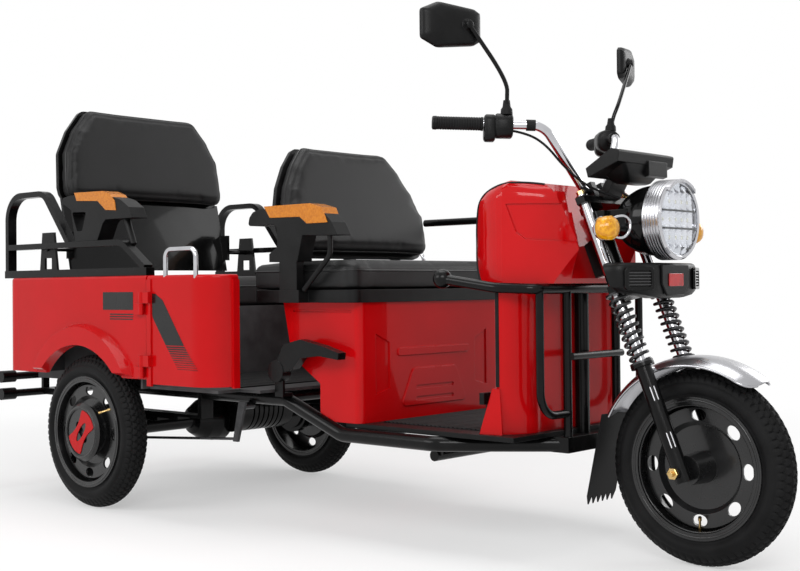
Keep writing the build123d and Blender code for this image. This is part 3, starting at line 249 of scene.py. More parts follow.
FINISHES = {
    "red_paint": dict(tone=((0.47, 0.002, 0.003), (0.5, 0.002, 0.004)), rough=0.22, grain=900, broad=9,
        relief=3e-5, coat=0.24, spread=0.03, specular=0.06, edge=0.003),
    "red_plastic": dict(tone=((0.5, 0.002, 0.003), (0.53, 0.002, 0.004)), rough=0.18, grain=700, broad=9,
        relief=3e-5, coat=0.38, spread=0.03, specular=0.06, edge=0.004),
    "black_paint": dict(tone=grey(0.002, 0.004), rough=0.24, grain=1200, broad=30, relief=8e-5, coat=0.1,
        coat_rough=0.08, specular=0.12, edge=0.002),
    "wheel_black": dict(tone=grey(0.006, 0.01), rough=0.28, grain=900, broad=20, relief=6e-5, coat=0.35,
        coat_rough=0.1, specular=0.3, edge=0.0015),
    "silver_paint": dict(tone=grey(0.4, 0.5), rough=0.24, grain=500, broad=8, relief=8e-5, metallic=1.0,
        spread=0.06, edge=0.0015),
    "chrome": dict(tone=grey(0.46, 0.56), rough=0.09, grain=400, broad=12, relief=4e-5, metallic=1.0,
        spread=0.04, dust=0.05),
    "spring_steel": dict(tone=grey(0.03, 0.06), rough=0.26, grain=800, broad=25, relief=8e-5,
        metallic=0.8),
    "tyre": dict(tone=grey(0.004, 0.008), rough=0.6, grain=900, broad=18, relief=2.2e-4, specular=0.12),
    "seat_cover": dict(tone=grey(0.006, 0.011), rough=0.46, grain=650, broad=5, relief=4e-4, specular=0.24,
        dust=0.05),
    "black_plastic": dict(tone=grey(0.003, 0.006), rough=0.36, grain=1500, broad=20, relief=1.6e-4,
        specular=0.16, edge=0.003),
    "gloss_black": dict(tone=grey(0.002, 0.003), rough=0.12, grain=600, broad=10, relief=4e-5, coat=0.14,
        specular=0.12, edge=0.003),
    "rubber": dict(tone=grey(0.004, 0.008), rough=0.54, grain=1100, broad=22, relief=1.6e-4, specular=0.14),
    "amber_lens": dict(tone=((0.5, 0.15, 0.004), (0.6, 0.2, 0.008)), rough=0.14, grain=260, broad=170,
        relief=6e-4, coat=0.35, specular=0.2, edge=0.003),
    "red_lens": dict(tone=((0.36, 0.002, 0.003), (0.52, 0.006, 0.008)), rough=0.12, grain=260, broad=30,
        relief=5e-4, coat=0.4, specular=0.2),
    "headlamp_lens": dict(tone=((0.93, 0.95, 0.97), (0.98, 0.99, 1.0)), rough=0.03, grain=300, broad=20,
        relief=6e-5, transmission=1.0, ior=1.25, spread=0.02, dust=0.03),
    "floor_sheet": dict(tone=grey(0.03, 0.06), rough=0.5, grain=500, broad=12, relief=2e-4, specular=0.25),
}
TRIM_FINISHES = {
    "stripe_black": dict(tone=grey(0.004, 0.007), rough=0.26, grain=900, broad=14, relief=4e-5, coat=0.25,
        specular=0.2),
    # White for the rear plate, and also for the painted highlight streaks on the fork legs
    "plate_white_and_painted_highlight": dict(tone=grey(0.72, 0.8), rough=0.35, grain=700, broad=14, relief=4e-5, coat=0.2),
    "signal_amber": dict(tone=((0.62, 0.24, 0.003), (0.86, 0.42, 0.012)), rough=0.1, grain=260, broad=120,
        relief=4e-4, coat=0.5, specular=0.2),
    "brass": dict(tone=((0.5, 0.33, 0.13), (0.66, 0.47, 0.2)), rough=0.26, grain=900, broad=40,
        relief=1e-4, metallic=1.0),
    "zinc": dict(tone=grey(0.36, 0.5), rough=0.3, grain=900, broad=40, relief=1e-4, metallic=1.0),
    "lamp_mirror": dict(tone=grey(0.66, 0.78), rough=0.12, grain=500, broad=30, relief=6e-5, metallic=1.0,
        spread=0.05),
    "lamp_chip": dict(tone=((0.8, 0.79, 0.66), (0.9, 0.88, 0.76)), rough=0.3, grain=900, broad=60,
        relief=1e-4, coat=0.5),
    "looking_glass": dict(tone=grey(0.8, 0.86), rough=0.02, grain=300, broad=10, relief=1e-5,
        metallic=1.0, spread=0.01),
    "smoked": dict(tone=grey(0.01, 0.02), rough=0.08, grain=400, broad=20, relief=6e-5, coat=0.6,
        specular=0.3),
    "piping": dict(tone=grey(0.005, 0.009), rough=0.34, grain=1400, broad=30, relief=2e-4, specular=0.35),
}
MATERIALS = {name: finish_of(name, **values) for name, values in FINISHES.items()}
TRIM = {name: finish_of(name, **values) for name, values in TRIM_FINISHES.items()}

for row in frame["record"]["subparts"]:
    target = nodes[row["node"]].data
    target.materials.clear()
    target.materials.append(MATERIALS[row["material_slot"]])


# Surfaces. A shape is (points, four-cornered faces, triangles); points are metres along the rear axle's X


def full_turn(count):
    """Angles in even steps once round."""
    return np.linspace(0, 2 * np.pi, count, endpoint=False)


def points_of(x, y, z):
    """Points from three coordinates, each stretched to the common grid."""
    return np.stack(np.broadcast_arrays(x, y, z), -1)


def grid(points, closed_u=False, closed_v=False, caps=False):
    """P(u, v) on a grid: each point joins its next in u and in v; caps close the u ends at their mean."""
    points = np.asarray(points, float)
    rows, columns = points.shape[:2]
    u0, v0 = np.meshgrid(np.arange(rows if closed_u else rows - 1),
                         np.arange(columns if closed_v else columns - 1), indexing="ij")
    u1, v1 = (u0 + 1) % rows, (v0 + 1) % columns
    corners = ((u0, v0), (u1, v0), (u1, v1), (u0, v1))
    quads = np.stack([u * columns + v for u, v in corners], -1).reshape(-1, 4)
    flat = points.reshape(-1, 3)
    triangles = np.zeros((0, 3), dtype=int)
    if caps:
        ring = np.arange(columns)
        after = (ring + 1) % columns
        first = np.stack([ring, after, np.full(columns, len(flat))], -1)
        base = (rows - 1) * columns
        last = np.stack([base + after, base + ring, np.full(columns, len(flat) + 1)], -1)
        flat = np.vstack([flat, points[0].mean(0), points[-1].mean(0)])
        triangles = np.vstack([first, last])
    return flat, quads, triangles


def loft(rings):
    """Closed form through a row of rings, capped at its ends."""
    return grid(rings, closed_v=True, caps=True)


def between(upper, lower):
    """Closed plate: each row of points runs along the upper face and back along the lower one."""
    return loft(np.concatenate([upper, lower[:, ::-1]], 1))


def together(shapes):
    """Several shapes as one, each shape's faces counted on from the points before it."""
    starts = np.cumsum([0] + [len(shape[0]) for shape in shapes[:-1]])
    return (np.vstack([shape[0] for shape in shapes]),
            np.vstack([shape[1] + start for shape, start in zip(shapes, starts)]),
            np.vstack([shape[2] + start for shape, start in zip(shapes, starts)]))


def across(shape):
    """The shape mirrored through the middle plane: y becomes -y and every face runs the other way."""
    points, quads, triangles = shape
    return points * (1, -1, 1), quads[:, ::-1], triangles[:, ::-1]


def both(*shapes):
    return together([*shapes, *map(across, shapes)])


def unit(vectors):
    return vectors / np.linalg.norm(vectors, axis=-1, keepdims=True)


def rounded(route, times=4):
    """Corner cutting: each run keeps its points at one and three quarters, a few times over; ends stay."""
    route = np.asarray(route, float)
    for _ in range(times):
        near = 0.75 * route[:-1] + 0.25 * route[1:]
        far = 0.25 * route[:-1] + 0.75 * route[1:]
        route = np.vstack([route[:1], np.stack([near, far], 1).reshape(-1, 3), route[-1:]])
    return route


def tube(route, radius, sides=12, closed=False):
    """Circle carried along a route: centre plus radius times cos and sin on two axes across the run."""
    route = np.asarray(route, float)
    along = np.roll(route, -1, 0) - np.roll(route, 1, 0) if closed else np.gradient(route, axis=0)
    along = unit(along)
    spread = np.ptp(route, axis=0) + (0, 0, 1e-6)
    aside = np.eye(3)[np.argmin(spread)]
    first = unit(np.cross(along, aside))
    second = np.cross(along, first)
    angle = full_turn(sides)[None, :, None]
    size = np.broadcast_to(radius, len(route))[:, None, None]
    ring = np.cos(angle) * first[:, None] + np.sin(angle) * second[:, None]
    return grid(route[:, None] + size * ring, closed_u=closed, closed_v=True, caps=not closed)


def lathe(profile, centre, axis, sides):
    """Profile of (height, radius) round an axis: centre + height * axis + radius on the circle across."""
    profile = np.asarray(profile, float)[..., None, None]
    axis = unit(np.asarray(axis, float))
    first = unit(np.cross(axis, (0, 0, 1) if abs(axis[2]) < 0.9 else (1, 0, 0)))
    second = np.cross(axis, first)
    angle = full_turn(sides)[:, None]
    ring = np.cos(angle) * first + np.sin(angle) * second
    return loft(np.asarray(centre) + profile[:, 0] * axis + profile[:, 1] * ring[None])


def stacked(centre, axes, rings, heights):
    """Closed form of flat rings: centre + u * aside + v * up + height * out, a height for each ring."""
    aside, up, out = axes
    return loft([centre + ring[:, :1] * aside + ring[:, 1:] * up + height * out
                 for ring, height in zip(rings, heights)])


def slab(outline, origin, axes, thickness, bevel=0.0005, levels=None):
    """Plate on a flat outline, which lies at each (height, inset) along the normal. By default that is four
    heights, drawn in by the bevel at both faces; given levels scale the outline instead."""
    outline = np.asarray(outline, float)
    aside, up = (unit(np.asarray(axis, float)) for axis in axes)
    if levels:
        middle = (outline.max(0) + outline.min(0)) / 2
        half = np.ptp(outline, axis=0) / 2
        rings = [middle + (outline - middle) * (1 - inset / half) for _, inset in levels]
    else:
        along = unit(np.roll(outline, -1, 0) - np.roll(outline, 1, 0))
        inward = np.stack([-along[:, 1], along[:, 0]], -1)
        turn = np.sign(np.sum(inward * (outline.mean(0) - outline)))
        levels = ((0, bevel), (bevel, 0), (thickness - bevel, 0), (thickness, bevel))
        rings = [outline + turn * inward * inset for _, inset in levels]
    heights = [height for height, _ in levels]
    return stacked(np.asarray(origin), (aside, up, np.cross(aside, up)), rings, heights)


def rounded_box(width, height, radius, count=8):
    """Outline of a rectangle with quarter circles at its corners, centred."""
    turn = np.linspace(0, np.pi / 2, count)
    arc = np.stack([np.cos(turn), np.sin(turn)], -1) * radius
    corners = []
    for number, (x, y) in enumerate(((1, 1), (-1, 1), (-1, -1), (1, -1))):
        cos, sin = math.cos(number * np.pi / 2), math.sin(number * np.pi / 2)
        turned = arc @ np.array([[cos, sin], [-sin, cos]])
        corners.append(turned + (x * (width / 2 - radius), y * (height / 2 - radius)))
    return np.vstack(corners)


def closed_curve(corners, times=3, halvings=2):
    """Closed outline made smooth by corner cutting; runs halved beforehand keep the corners tight."""
    route = np.asarray(corners, float)
    for _ in range(halvings):
        route = np.stack([route, (route + np.roll(route, -1, 0)) / 2], 1).reshape(-1, 2)
    for _ in range(times):
        after = np.roll(route, -1, 0)
        route = np.stack([0.75 * route + 0.25 * after, 0.25 * route + 0.75 * after], 1).reshape(-1, 2)
    return route


def on_fork(points):
    """Fork frame (ahead, aside, up the fork) to the tricycle's: turned back by the rake at the front hub."""
    ahead, aside, up = np.moveaxis(np.asarray(points, float), -1, 0)
    x = WHEELBASE + ahead * math.cos(RAKE) - up * math.sin(RAKE)
    z = HUB_HEIGHT + ahead * math.sin(RAKE) + up * math.cos(RAKE)
    return np.stack([x, aside, z], -1)


def add_piece(name, shape, body, slot, material=None, smooth=True, replaced=()):
    """Puts a shape into the scene as a mesh with outward faces, its finish (the slot's material when none is
    given) and its body.
    """
    points, quads, triangles = shape
    mesh = bpy.data.meshes.new(name)
    mesh.from_pydata((points - (SHIFT_X, 0, 0)).tolist(), [], quads.tolist() + triangles.tolist())
    work = bmesh.new()
    work.from_mesh(mesh)
    bmesh.ops.remove_doubles(work, verts=work.verts, dist=1e-6)
    bmesh.ops.recalc_face_normals(work, faces=work.faces)
    work.to_mesh(mesh)
    work.free()
    piece = bpy.data.objects.new(name, mesh)
    scene.collection.objects.link(piece)
    mesh.materials.append(material or MATERIALS[slot])
    if smooth:
        mesh.shade_smooth()
        mesh.set_sharp_from_angle(angle=math.radians(38))
    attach(piece, body)
    if replaced:
        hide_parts(*replaced)
    return piece


# Tyres with staggered tread blocks and ringed sidewalls

TREAD_DEPTH = 0.0045
TREAD_PITCHES = 72
TREAD_ROW = 0.0124
TREAD_HALF = 0.0372
CROWN_RADIUS = 0.2298
BEAD_RADIUS = 0.169
VALVE = [(0, 0.0042), (0.01, 0.0042), (0.012, 0.003), (0.03, 0.003), (0.031, 0.0044), (0.04, 0.0044)]
AXLE_NUT = [(0, 0.0125), (0.001, 0.014), (0.009, 0.014), (0.01, 0.0125)]
AXLE_END = [(0, 0.0062), (0.008, 0.0062), (0.009, 0.0052)]
CAP_RADIUS = 0.066


def bump_wave(turns, gap, ease):
    """Once per turn, (1 - distance from the block's middle - gap) / ease, cut off at 0 and 1: a block and the
    gap after it."""
    middle = np.abs((turns % 1.0) - 0.5) * 2
    return np.clip((1 - middle - gap) / ease, 0, 1)


def tyre(centre_x, centre_y):
    """Section (across, radius) turned round the hub: the crown falls off with distance from the middle to the
    power 2.4, blocks in rows raise it by the tread depth, and a sine of the radius ripples the sides."""
    angle = full_turn(TREAD_PITCHES * 6)[:, None]
    crown = np.linspace(-TREAD_HALF, TREAD_HALF, 61)
    crown_radius = CROWN_RADIUS - 0.025 * (np.abs(crown) / TREAD_HALF) ** 2.4 - TREAD_DEPTH
    side = np.linspace(0, 1, 15)[1:]
    side_across = TREAD_HALF - 0.0032 * side + 0.0058 * np.sin(np.pi * np.clip(side * 1.12, 0, 1)) ** 0.8
    side_radius = crown_radius[-1] + (BEAD_RADIUS - crown_radius[-1]) * side
    seat_across = np.array([0.0342, 0.0342, 0.012, -0.012, -0.0342, -0.0342])
    seat_radius = np.array([0.162, 0.1545, 0.1545, 0.1545, 0.1545, 0.162])
    base = np.concatenate([crown, side_across, seat_across, -side_across[::-1]])[None]
    radius = np.concatenate([crown_radius, side_radius, seat_radius, side_radius[::-1]])[None]
    row = np.floor(base / TREAD_ROW + 3)
    turns = angle / (2 * np.pi) * TREAD_PITCHES + 0.5 * (row % 2) + 0.2 * np.abs(base) / TREAD_ROW
    blocks = bump_wave(turns, 0.18, 0.14) * bump_wave(base / TREAD_ROW, 0.16, 0.14)
    tread = np.zeros(base.shape, dtype=bool)
    tread[:, 1:len(crown) - 1] = True
    ripple = np.where(~tread & (radius > 0.172), 0.0004 * np.sin(radius / 0.0042 * 2 * np.pi), 0)
    total = radius + np.where(tread, TREAD_DEPTH * blocks, 0) + ripple
    points = points_of(centre_x + total * np.cos(angle), centre_y + base, HUB_HEIGHT + total * np.sin(angle))
    return grid(points, closed_u=True, closed_v=True)


def hub_band(side):
    """Band on a hub cap: from an oval slot out to the parabolas height = 0.027 + 0.022 (x / cap radius)^2, or
    to the cap's edge where that is nearer; leaned, and closed by rings at two depths."""
    turn = full_turn(72)
    bow, rise, run = 0.022 * np.cos(turn) ** 2 / CAP_RADIUS ** 2, np.abs(np.sin(turn)), 0.027
    spread = rise ** 2 - 4 * bow * run
    reach = np.where(spread > 0, 2 * run / (rise + np.sqrt(np.maximum(spread, 1e-12))), CAP_RADIUS)
    spokes = np.stack([np.cos(turn), np.sin(turn)], -1)
    lean = math.radians(50)
    plane = np.array([(math.cos(lean), 0, math.sin(lean)), (-math.sin(lean), 0, math.cos(lean))])
    origin = np.array([0.0, side * (HALF_TRACK + 0.0522), HUB_HEIGHT])
    rim = origin + spokes * np.minimum(reach, CAP_RADIUS)[:, None] @ plane
    slot = origin + spokes * (0.036, 0.0115) @ plane
    out = np.array([0, side * 0.0022, 0])
    return grid(np.array([rim, rim + out, slot + out, slot]), closed_u=True, closed_v=True)


def add_wheels():
    add_piece("front_tyre_tread", tyre(WHEELBASE, 0.0), "front_wheel", "tyre", replaced=["front_tyre"])
    seat = (WHEELBASE, -0.014, HUB_HEIGHT - 0.146)
    add_piece("front_valve", lathe(VALVE, seat, (0.25, -0.45, 0.86), 16), "front_wheel", "spring_steel",
              TRIM["brass"])
    nuts = both(lathe(AXLE_NUT, (WHEELBASE, -0.131, HUB_HEIGHT), (0, -1, 0), 6))
    ends = both(lathe(AXLE_END, (WHEELBASE, -0.141, HUB_HEIGHT), (0, -1, 0), 20))
    add_piece("axle_nuts", together([nuts, ends]), "steering", "spring_steel", TRIM["brass"], smooth=False)
    cos, sin = math.cos(math.radians(35)), math.sin(math.radians(35))
    for side, word in SIDES:
        body = f"rear_wheel_{word}"
        add_piece(f"rear_tyre_tread_{word}", tyre(0.0, side * HALF_TRACK), body, "tyre",
                  replaced=[f"rear_tyre_{word}"])
        seat = (0.128 * cos, side * (HALF_TRACK + 0.018), HUB_HEIGHT + 0.128 * sin)
        add_piece(f"rear_valve_{word}", lathe(VALVE, seat, (-cos * 0.5, side * 0.9, -sin * 0.5), 16), body,
                  "spring_steel", TRIM["brass"])
        add_piece(f"hub_band_{word}", hub_band(side), body, "red_paint")
        ring = hoop((0, side * (HALF_TRACK + 0.0535), HUB_HEIGHT), 0.0745, 0.004)
        add_piece(f"hub_ring_{word}", ring, body, "wheel_black")


# Padded seats: solids swollen by a short cloth simulation, then creased along their seams

VOXEL = 0.0069
PRESSURE = 4
CLOTH_FRAMES = 20
DRAWN_IN = 0.3
PIPING_RADIUS = 0.003
CREASE_DEPTH = 0.003
CREASE_WIDTH = 0.004


def settle(name, node, cap, body):
    """Swells a copy of a pad's solid, drawn in a little, by cloth pressure; no point moves above cap."""
    piece = bpy.data.objects.new(name, nodes[node].data.copy())
    piece.data.name = name
    scene.collection.objects.link(piece)
    remesh = piece.modifiers.new("even_faces", "REMESH")
    remesh.mode = "VOXEL"
    remesh.voxel_size = VOXEL
    apply_modifiers(piece)
    normals = np.empty(len(piece.data.vertices) * 3)
    piece.data.vertices.foreach_get("normal", normals)
    before = read_points(piece) - normals.reshape(-1, 3) * cap * DRAWN_IN
    write_points(piece, before)
    cloth = piece.modifiers.new("stuffing", "CLOTH")
    cloth.settings.use_pressure = True
    cloth.settings.uniform_pressure_force = PRESSURE
    cloth.settings.effector_weights.gravity = 0
    cloth.settings.quality = 4
    cloth.point_cache.frame_start = 1
    cloth.point_cache.frame_end = CLOTH_FRAMES
    for step in range(1, CLOTH_FRAMES + 1):
        scene.frame_set(step)
    apply_modifiers(piece)
    scene.frame_set(1)
    moved = read_points(piece) - before
    size = np.linalg.norm(moved, axis=1, keepdims=True)
    write_points(piece, before + moved * np.minimum(1, cap / np.maximum(size, 1e-9)))
    piece.data.materials.clear()
    piece.data.materials.append(MATERIALS["seat_cover"])
    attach(piece, body)
    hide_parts(node)
    return piece


def fresh_graph():
    graph = bpy.context.evaluated_depsgraph_get()
    graph.update()
    return graph


def apply_modifiers(piece):
    mesh = bpy.data.meshes.new_from_object(piece.evaluated_get(fresh_graph()))
    old = piece.data
    piece.modifiers.clear()
    piece.data = mesh
    bpy.data.meshes.remove(old)
    mesh.name = piece.name
    mesh.shade_smooth()


def read_points(piece):
    points = np.empty(len(piece.data.vertices) * 3)
    piece.data.vertices.foreach_get("co", points)
    return points.reshape(-1, 3)


def write_points(piece, points):
    piece.data.vertices.foreach_set("co", points.ravel())
    piece.data.update()


def edge_distance(points, outline):
    """Shortest distance from each flat point to a closed outline's runs."""
    start, run = outline, np.roll(outline, -1, 0) - outline
    offset = points[:, None] - start[None]
    share = np.clip((offset * run).sum(-1) / (run * run).sum(-1), 0, 1)
    return np.linalg.norm(offset - share[..., None] * run, axis=-1).min(1)


def girth(piece, centre, axes, height, count=240):
    """Closed line round a pad: where rays from outside, aimed at its middle, meet it at one height."""
    tree = BVHTree.FromObject(piece, fresh_graph())
    start = Vector(centre + height * axes[2] - (SHIFT_X, 0, 0))
    turns = full_turn(count)
    rays = np.cos(turns)[:, None] * axes[0] + np.sin(turns)[:, None] * axes[1]
    hits = [tree.ray_cast(start + Vector(ray) * 2.0, -Vector(ray), 2.0)[0] for ray in rays]
    route = np.array([tuple(hit) for hit in hits if hit]) + (SHIFT_X, 0, 0)
    return (np.roll(route, 1, 0) + route + np.roll(route, -1, 0)) / 3


def crease(piece, centre, axes, line, inset, front_from):
    """Sinks the front face along a line inset from the girth: depth times exp(-(distance / width)^2)."""
    points = read_points(piece)
    local = (points + (SHIFT_X, 0, 0) - centre) @ axes.T
    outline = ((line - centre) @ axes.T)[:, :2]
    away = edge_distance(local[:, :2], outline)
    sunk = CREASE_DEPTH * np.exp(-((away - inset) / CREASE_WIDTH) ** 2)
    sunk = sunk * np.clip((local[:, 2] - front_from) / 0.006, 0, 1)
    write_points(piece, points - sunk[:, None] * axes[2])


def pad(name, node, body, centre, axes, height, cap, seam, welt):
    """A stuffed pad: its solid swollen, its face sunk along a seam, and piping at the welt's height."""
    centre, axes = np.asarray(centre, float), np.asarray(axes, float)
    piece = settle(name, node, cap, body)
    outline, piping = (girth(piece, centre, axes, level) for level in (height, welt))
    crease(piece, centre, axes, outline, seam, height)
    level = piece.modifiers.new("fine_faces", "SUBSURF")
    level.levels = level.render_levels = 1
    apply_modifiers(piece)
    piping = tube(piping, PIPING_RADIUS, 8, closed=True)
    add_piece(f"{name}_piping", piping, body, "seat_cover", TRIM["piping"])


def leaning(lean):
    """Axes of a backrest: across, up its slope and out of its face."""
    tilt = math.radians(lean)
    return np.array([(0, 1, 0), (-math.sin(tilt), 0, math.cos(tilt)), (math.cos(tilt), 0, math.sin(tilt))])


def add_seats():
    lean = leaning(7.4)
    pad("rear_backrest_pad", "rear_backrest", "passenger_backrest", (-0.36, 0, 0.952) + 0.16 * lean[1], lean,
        height=0.026, cap=0.008, seam=0.016, welt=0.03)
    lean = leaning(16.0)
    pad("rider_backrest_pad", "rider_backrest", "chassis", (0.681, 0, 0.744) + 0.17 * lean[1], lean,
        height=0.022, cap=0.008, seam=0.015, welt=0.026)
    pad("rider_cushion_pad", "rider_cushion", "chassis", (0.8, 0, 0.6525), np.eye(3),
        height=0.036, cap=0.01, seam=0.042, welt=0.05)
    pad("rear_cushion_pad", "rear_cushion", "chassis", (-0.0975, 0, 0.6005), np.eye(3),
        height=0.045, cap=0.012, seam=0.044, welt=0.064)


# Stripes and panels on the painted sheets, and painted highlight streaks on the fork legs

DOOR_EDGE = [(0.427, 0.456), (0.495, 0.401), (0.578, 0.338), (0.587, 0.336), (0.647, 0.336)]
STRIPE_EDGE = [(0.431, 0.541), (0.497, 0.481), (0.627, 0.384), (0.644, 0.352), (0.647, 0.35)]


def side_band(left, right, z_high, z_low, rows=24):
    """Thin plate on the tub's side between two lines x(z): each row is a loop of four corners, at the face
    and a skin's thickness off it."""
    z = np.linspace(z_high, z_low, rows)
    x0 = np.interp(z, *np.array(left).T)
    x1 = np.interp(z, *np.array(right).T)
    near, far = -TUB_SIDE, -TUB_SIDE - SKIN
    loop = [points_of(x, y, z) for x, y in ((x0, near), (x1, near), (x1, far), (x0, far))]
    return loft(np.stack(loop, 1))


def side_plate(x_rear, x_front, z_high, z_low):
    return side_band([(0.5, x_rear), (0.7, x_rear)], [(0.5, x_front), (0.7, x_front)], z_high, z_low, 2)


def leg_highlight_streak(centre, low, high):
    """Painted highlight: a thin white strip on a fork leg; ahead and aside are radius times cos and sin of
    the turn, at two radii.
    """
    turn = np.radians(np.linspace(centre - 3.5, centre + 3.5, 6))[None]
    up = np.linspace(low, high, 8)[:, None]
    return between(*(on_fork(points_of(radius * np.cos(turn), -LEG_Y + radius * np.sin(turn), up))
                     for radius in (0.019, 0.0194)))


def add_stripes():
    lines = [side_band(DOOR_EDGE, STRIPE_EDGE, top, top - 0.0042 + 0.0003 * number, 3)
             for number, top in enumerate(np.arange(0.4975, 0.434, -0.0062))]
    stripes = together([side_band(DOOR_EDGE, STRIPE_EDGE, 0.645, 0.5)] + lines)
    bars = [side_plate(0.133, 0.246, top, top - 0.0035) for top in (0.587, 0.58, 0.573)]
    panel = together([side_plate(0.098, 0.246, 0.65, 0.598)] + bars)
    for side, word in SIDES:
        for name, shape, body in (("door_stripe", stripes, f"{word}_door"), ("side_panel", panel, "chassis")):
            turned = shape if side < 0 else across(shape)
            add_piece(f"{name}_{word}", turned, body, "black_paint", TRIM["stripe_black"], smooth=False)
    # Painted highlights: thin white strips on the fork legs, facing the front light, stand for its glint on
    # the round legs
    highlight_streaks = [leg_highlight_streak(centre, low, high) for centre in (-62, -34)
            for low, high in ((0.056, 0.092), (0.17, 0.203))]
    add_piece("fork_leg_painted_highlights", both(*highlight_streaks), "steering", "silver_paint", TRIM["plate_white_and_painted_highlight"])


# Headlight, turn signals and the lamp box under them

LAMP = np.array([1.7351, 0.0, 0.8121])
CELL_Y, CELL_Z = 0.027, 0.042
GLASS_RADIUS = 0.0868
RIM_SECTION = [(-0.002, 0.0862), (0.004, 0.0862), (0.006, 0.0885), (0.006, 0.0925), (0.002, 0.0958),
               (-0.002, 0.095)]
SIGNAL_LENS = [(-0.05, 0.01), (-0.048, 0.021), (-0.04, 0.0262), (-0.024, 0.028), (-0.014, 0.028),
               (-0.013, 0.0268), (-0.008, 0.025), (-0.003, 0.02), (0.0005, 0.012), (0.002, 0.003)]
SIGNAL_LOOP = [(1.66, 0.18, 0.772), (1.672, 0.148, 0.764), (1.678, 0.122, 0.782), (1.676, 0.118, 0.812),
               (1.664, 0.14, 0.822), (1.65, 0.178, 0.806)]
SIGNAL_ARM = [(1.64, 0.186, 0.79), (1.63, 0.13, 0.794), (1.616, 0.084, 0.798)]
SIGNAL_SHELL = [(-0.055, 0.006), (-0.054, 0.016), (-0.047, 0.024), (-0.044, 0.0272), (-0.04, 0.0278)]


def once(side, node):
    """A node that is replaced by a pair of pieces is named with the right one only."""
    return [node] if side < 0 else []


def disc_sheet(radius, back, front_of, rings, sides):
    """Closed round sheet facing +X on the lamp: its front is a function of (y, z), its back is flat."""
    share = np.linspace(1, 0.004, rings)[:, None]
    angle = full_turn(sides)[None]
    y, z = radius * share * np.cos(angle), radius * share * np.sin(angle)
    front, rear = points_of(front_of(y, z), y, z), points_of(back, y, z)[::-1]
    return loft(np.vstack([rear, front]) + LAMP)


def cups(y, z):
    """Hollow of each cell: -0.004 - 0.0085 (1 - u^2) (1 - v^4), u and v from -1 to 1 across the cell."""
    u = ((y / CELL_Y + 0.5) % 1) * 2 - 1
    v = ((z / CELL_Z + 0.5) % 1) * 2 - 1
    return -0.004 - 0.0085 * np.clip(1 - u ** 2, 0, 1) * np.clip(1 - v ** 4, 0, 1)


def dome(y, z):
    """Lens: 0.001 + 0.0065 times the square root of 1.02 less the squared share of the radius."""
    return 0.0065 * np.sqrt(np.clip(1.02 - (y * y + z * z) / GLASS_RADIUS ** 2, 0, 1)) + 0.001


def add_headlight():
    add_piece("headlight_cups", disc_sheet(0.0865, -0.015, cups, 70, 160), "steering", "silver_paint",
              TRIM["lamp_mirror"], replaced=["headlight_lens"])
    places = [(-0.0118, y, z) for z in (-CELL_Z, 0, CELL_Z) for y in np.arange(-2, 3) * CELL_Y
              if math.hypot(y, z) < 0.072]
    chips = [slab(rounded_box(0.009, 0.009, 0.002, 4), LAMP + place, FRONT_FACE, 0.0022) for place in places]
    add_piece("headlight_chips", together(chips), "steering", "headlamp_lens", TRIM["lamp_chip"])
    bars = [slab(rounded_box(2 * math.sqrt(0.0855 ** 2 - (z + 0.002) ** 2) - 0.003, 0.0045, 0.002, 4),
                 LAMP + (-0.006, 0, z), FRONT_FACE, 0.004) for z in (-0.021, 0.021)]
    add_piece("headlight_bars", together(bars), "steering", "gloss_black")
    add_piece("headlight_glass", disc_sheet(GLASS_RADIUS, -0.0008, dome, 30, 96), "steering", "headlamp_lens")
    angle = full_turn(128)
    ahead, reach = np.array(RIM_SECTION).T[..., None]
    points = points_of(ahead, reach * np.cos(angle), reach * np.sin(angle)) + LAMP
    add_piece("headlight_rim", grid(points, closed_u=True, closed_v=True), "steering", "chrome")


def add_signals():
    for side, word in SIDES:
        centre = (1.688, side * 0.198, 0.789)
        add_piece(f"signal_lens_{word}", lathe(SIGNAL_LENS, centre, (1, 0, 0), 48), "steering", "amber_lens",
                  TRIM["signal_amber"], replaced=once(side, "turn_signals"))
        add_piece(f"signal_shell_{word}", lathe(SIGNAL_SHELL, centre, (1, 0, 0), 48), "steering", "chrome")
        loop, arm = (rounded([(x, side * y, z) for x, y, z in route], times)
                     for route, times in ((SIGNAL_LOOP, 4), (SIGNAL_ARM, 2)))
        add_piece(f"signal_loop_{word}", together([tube(loop, 0.0036, 10), tube(arm, 0.006, 12)]), "steering",
                  "chrome")


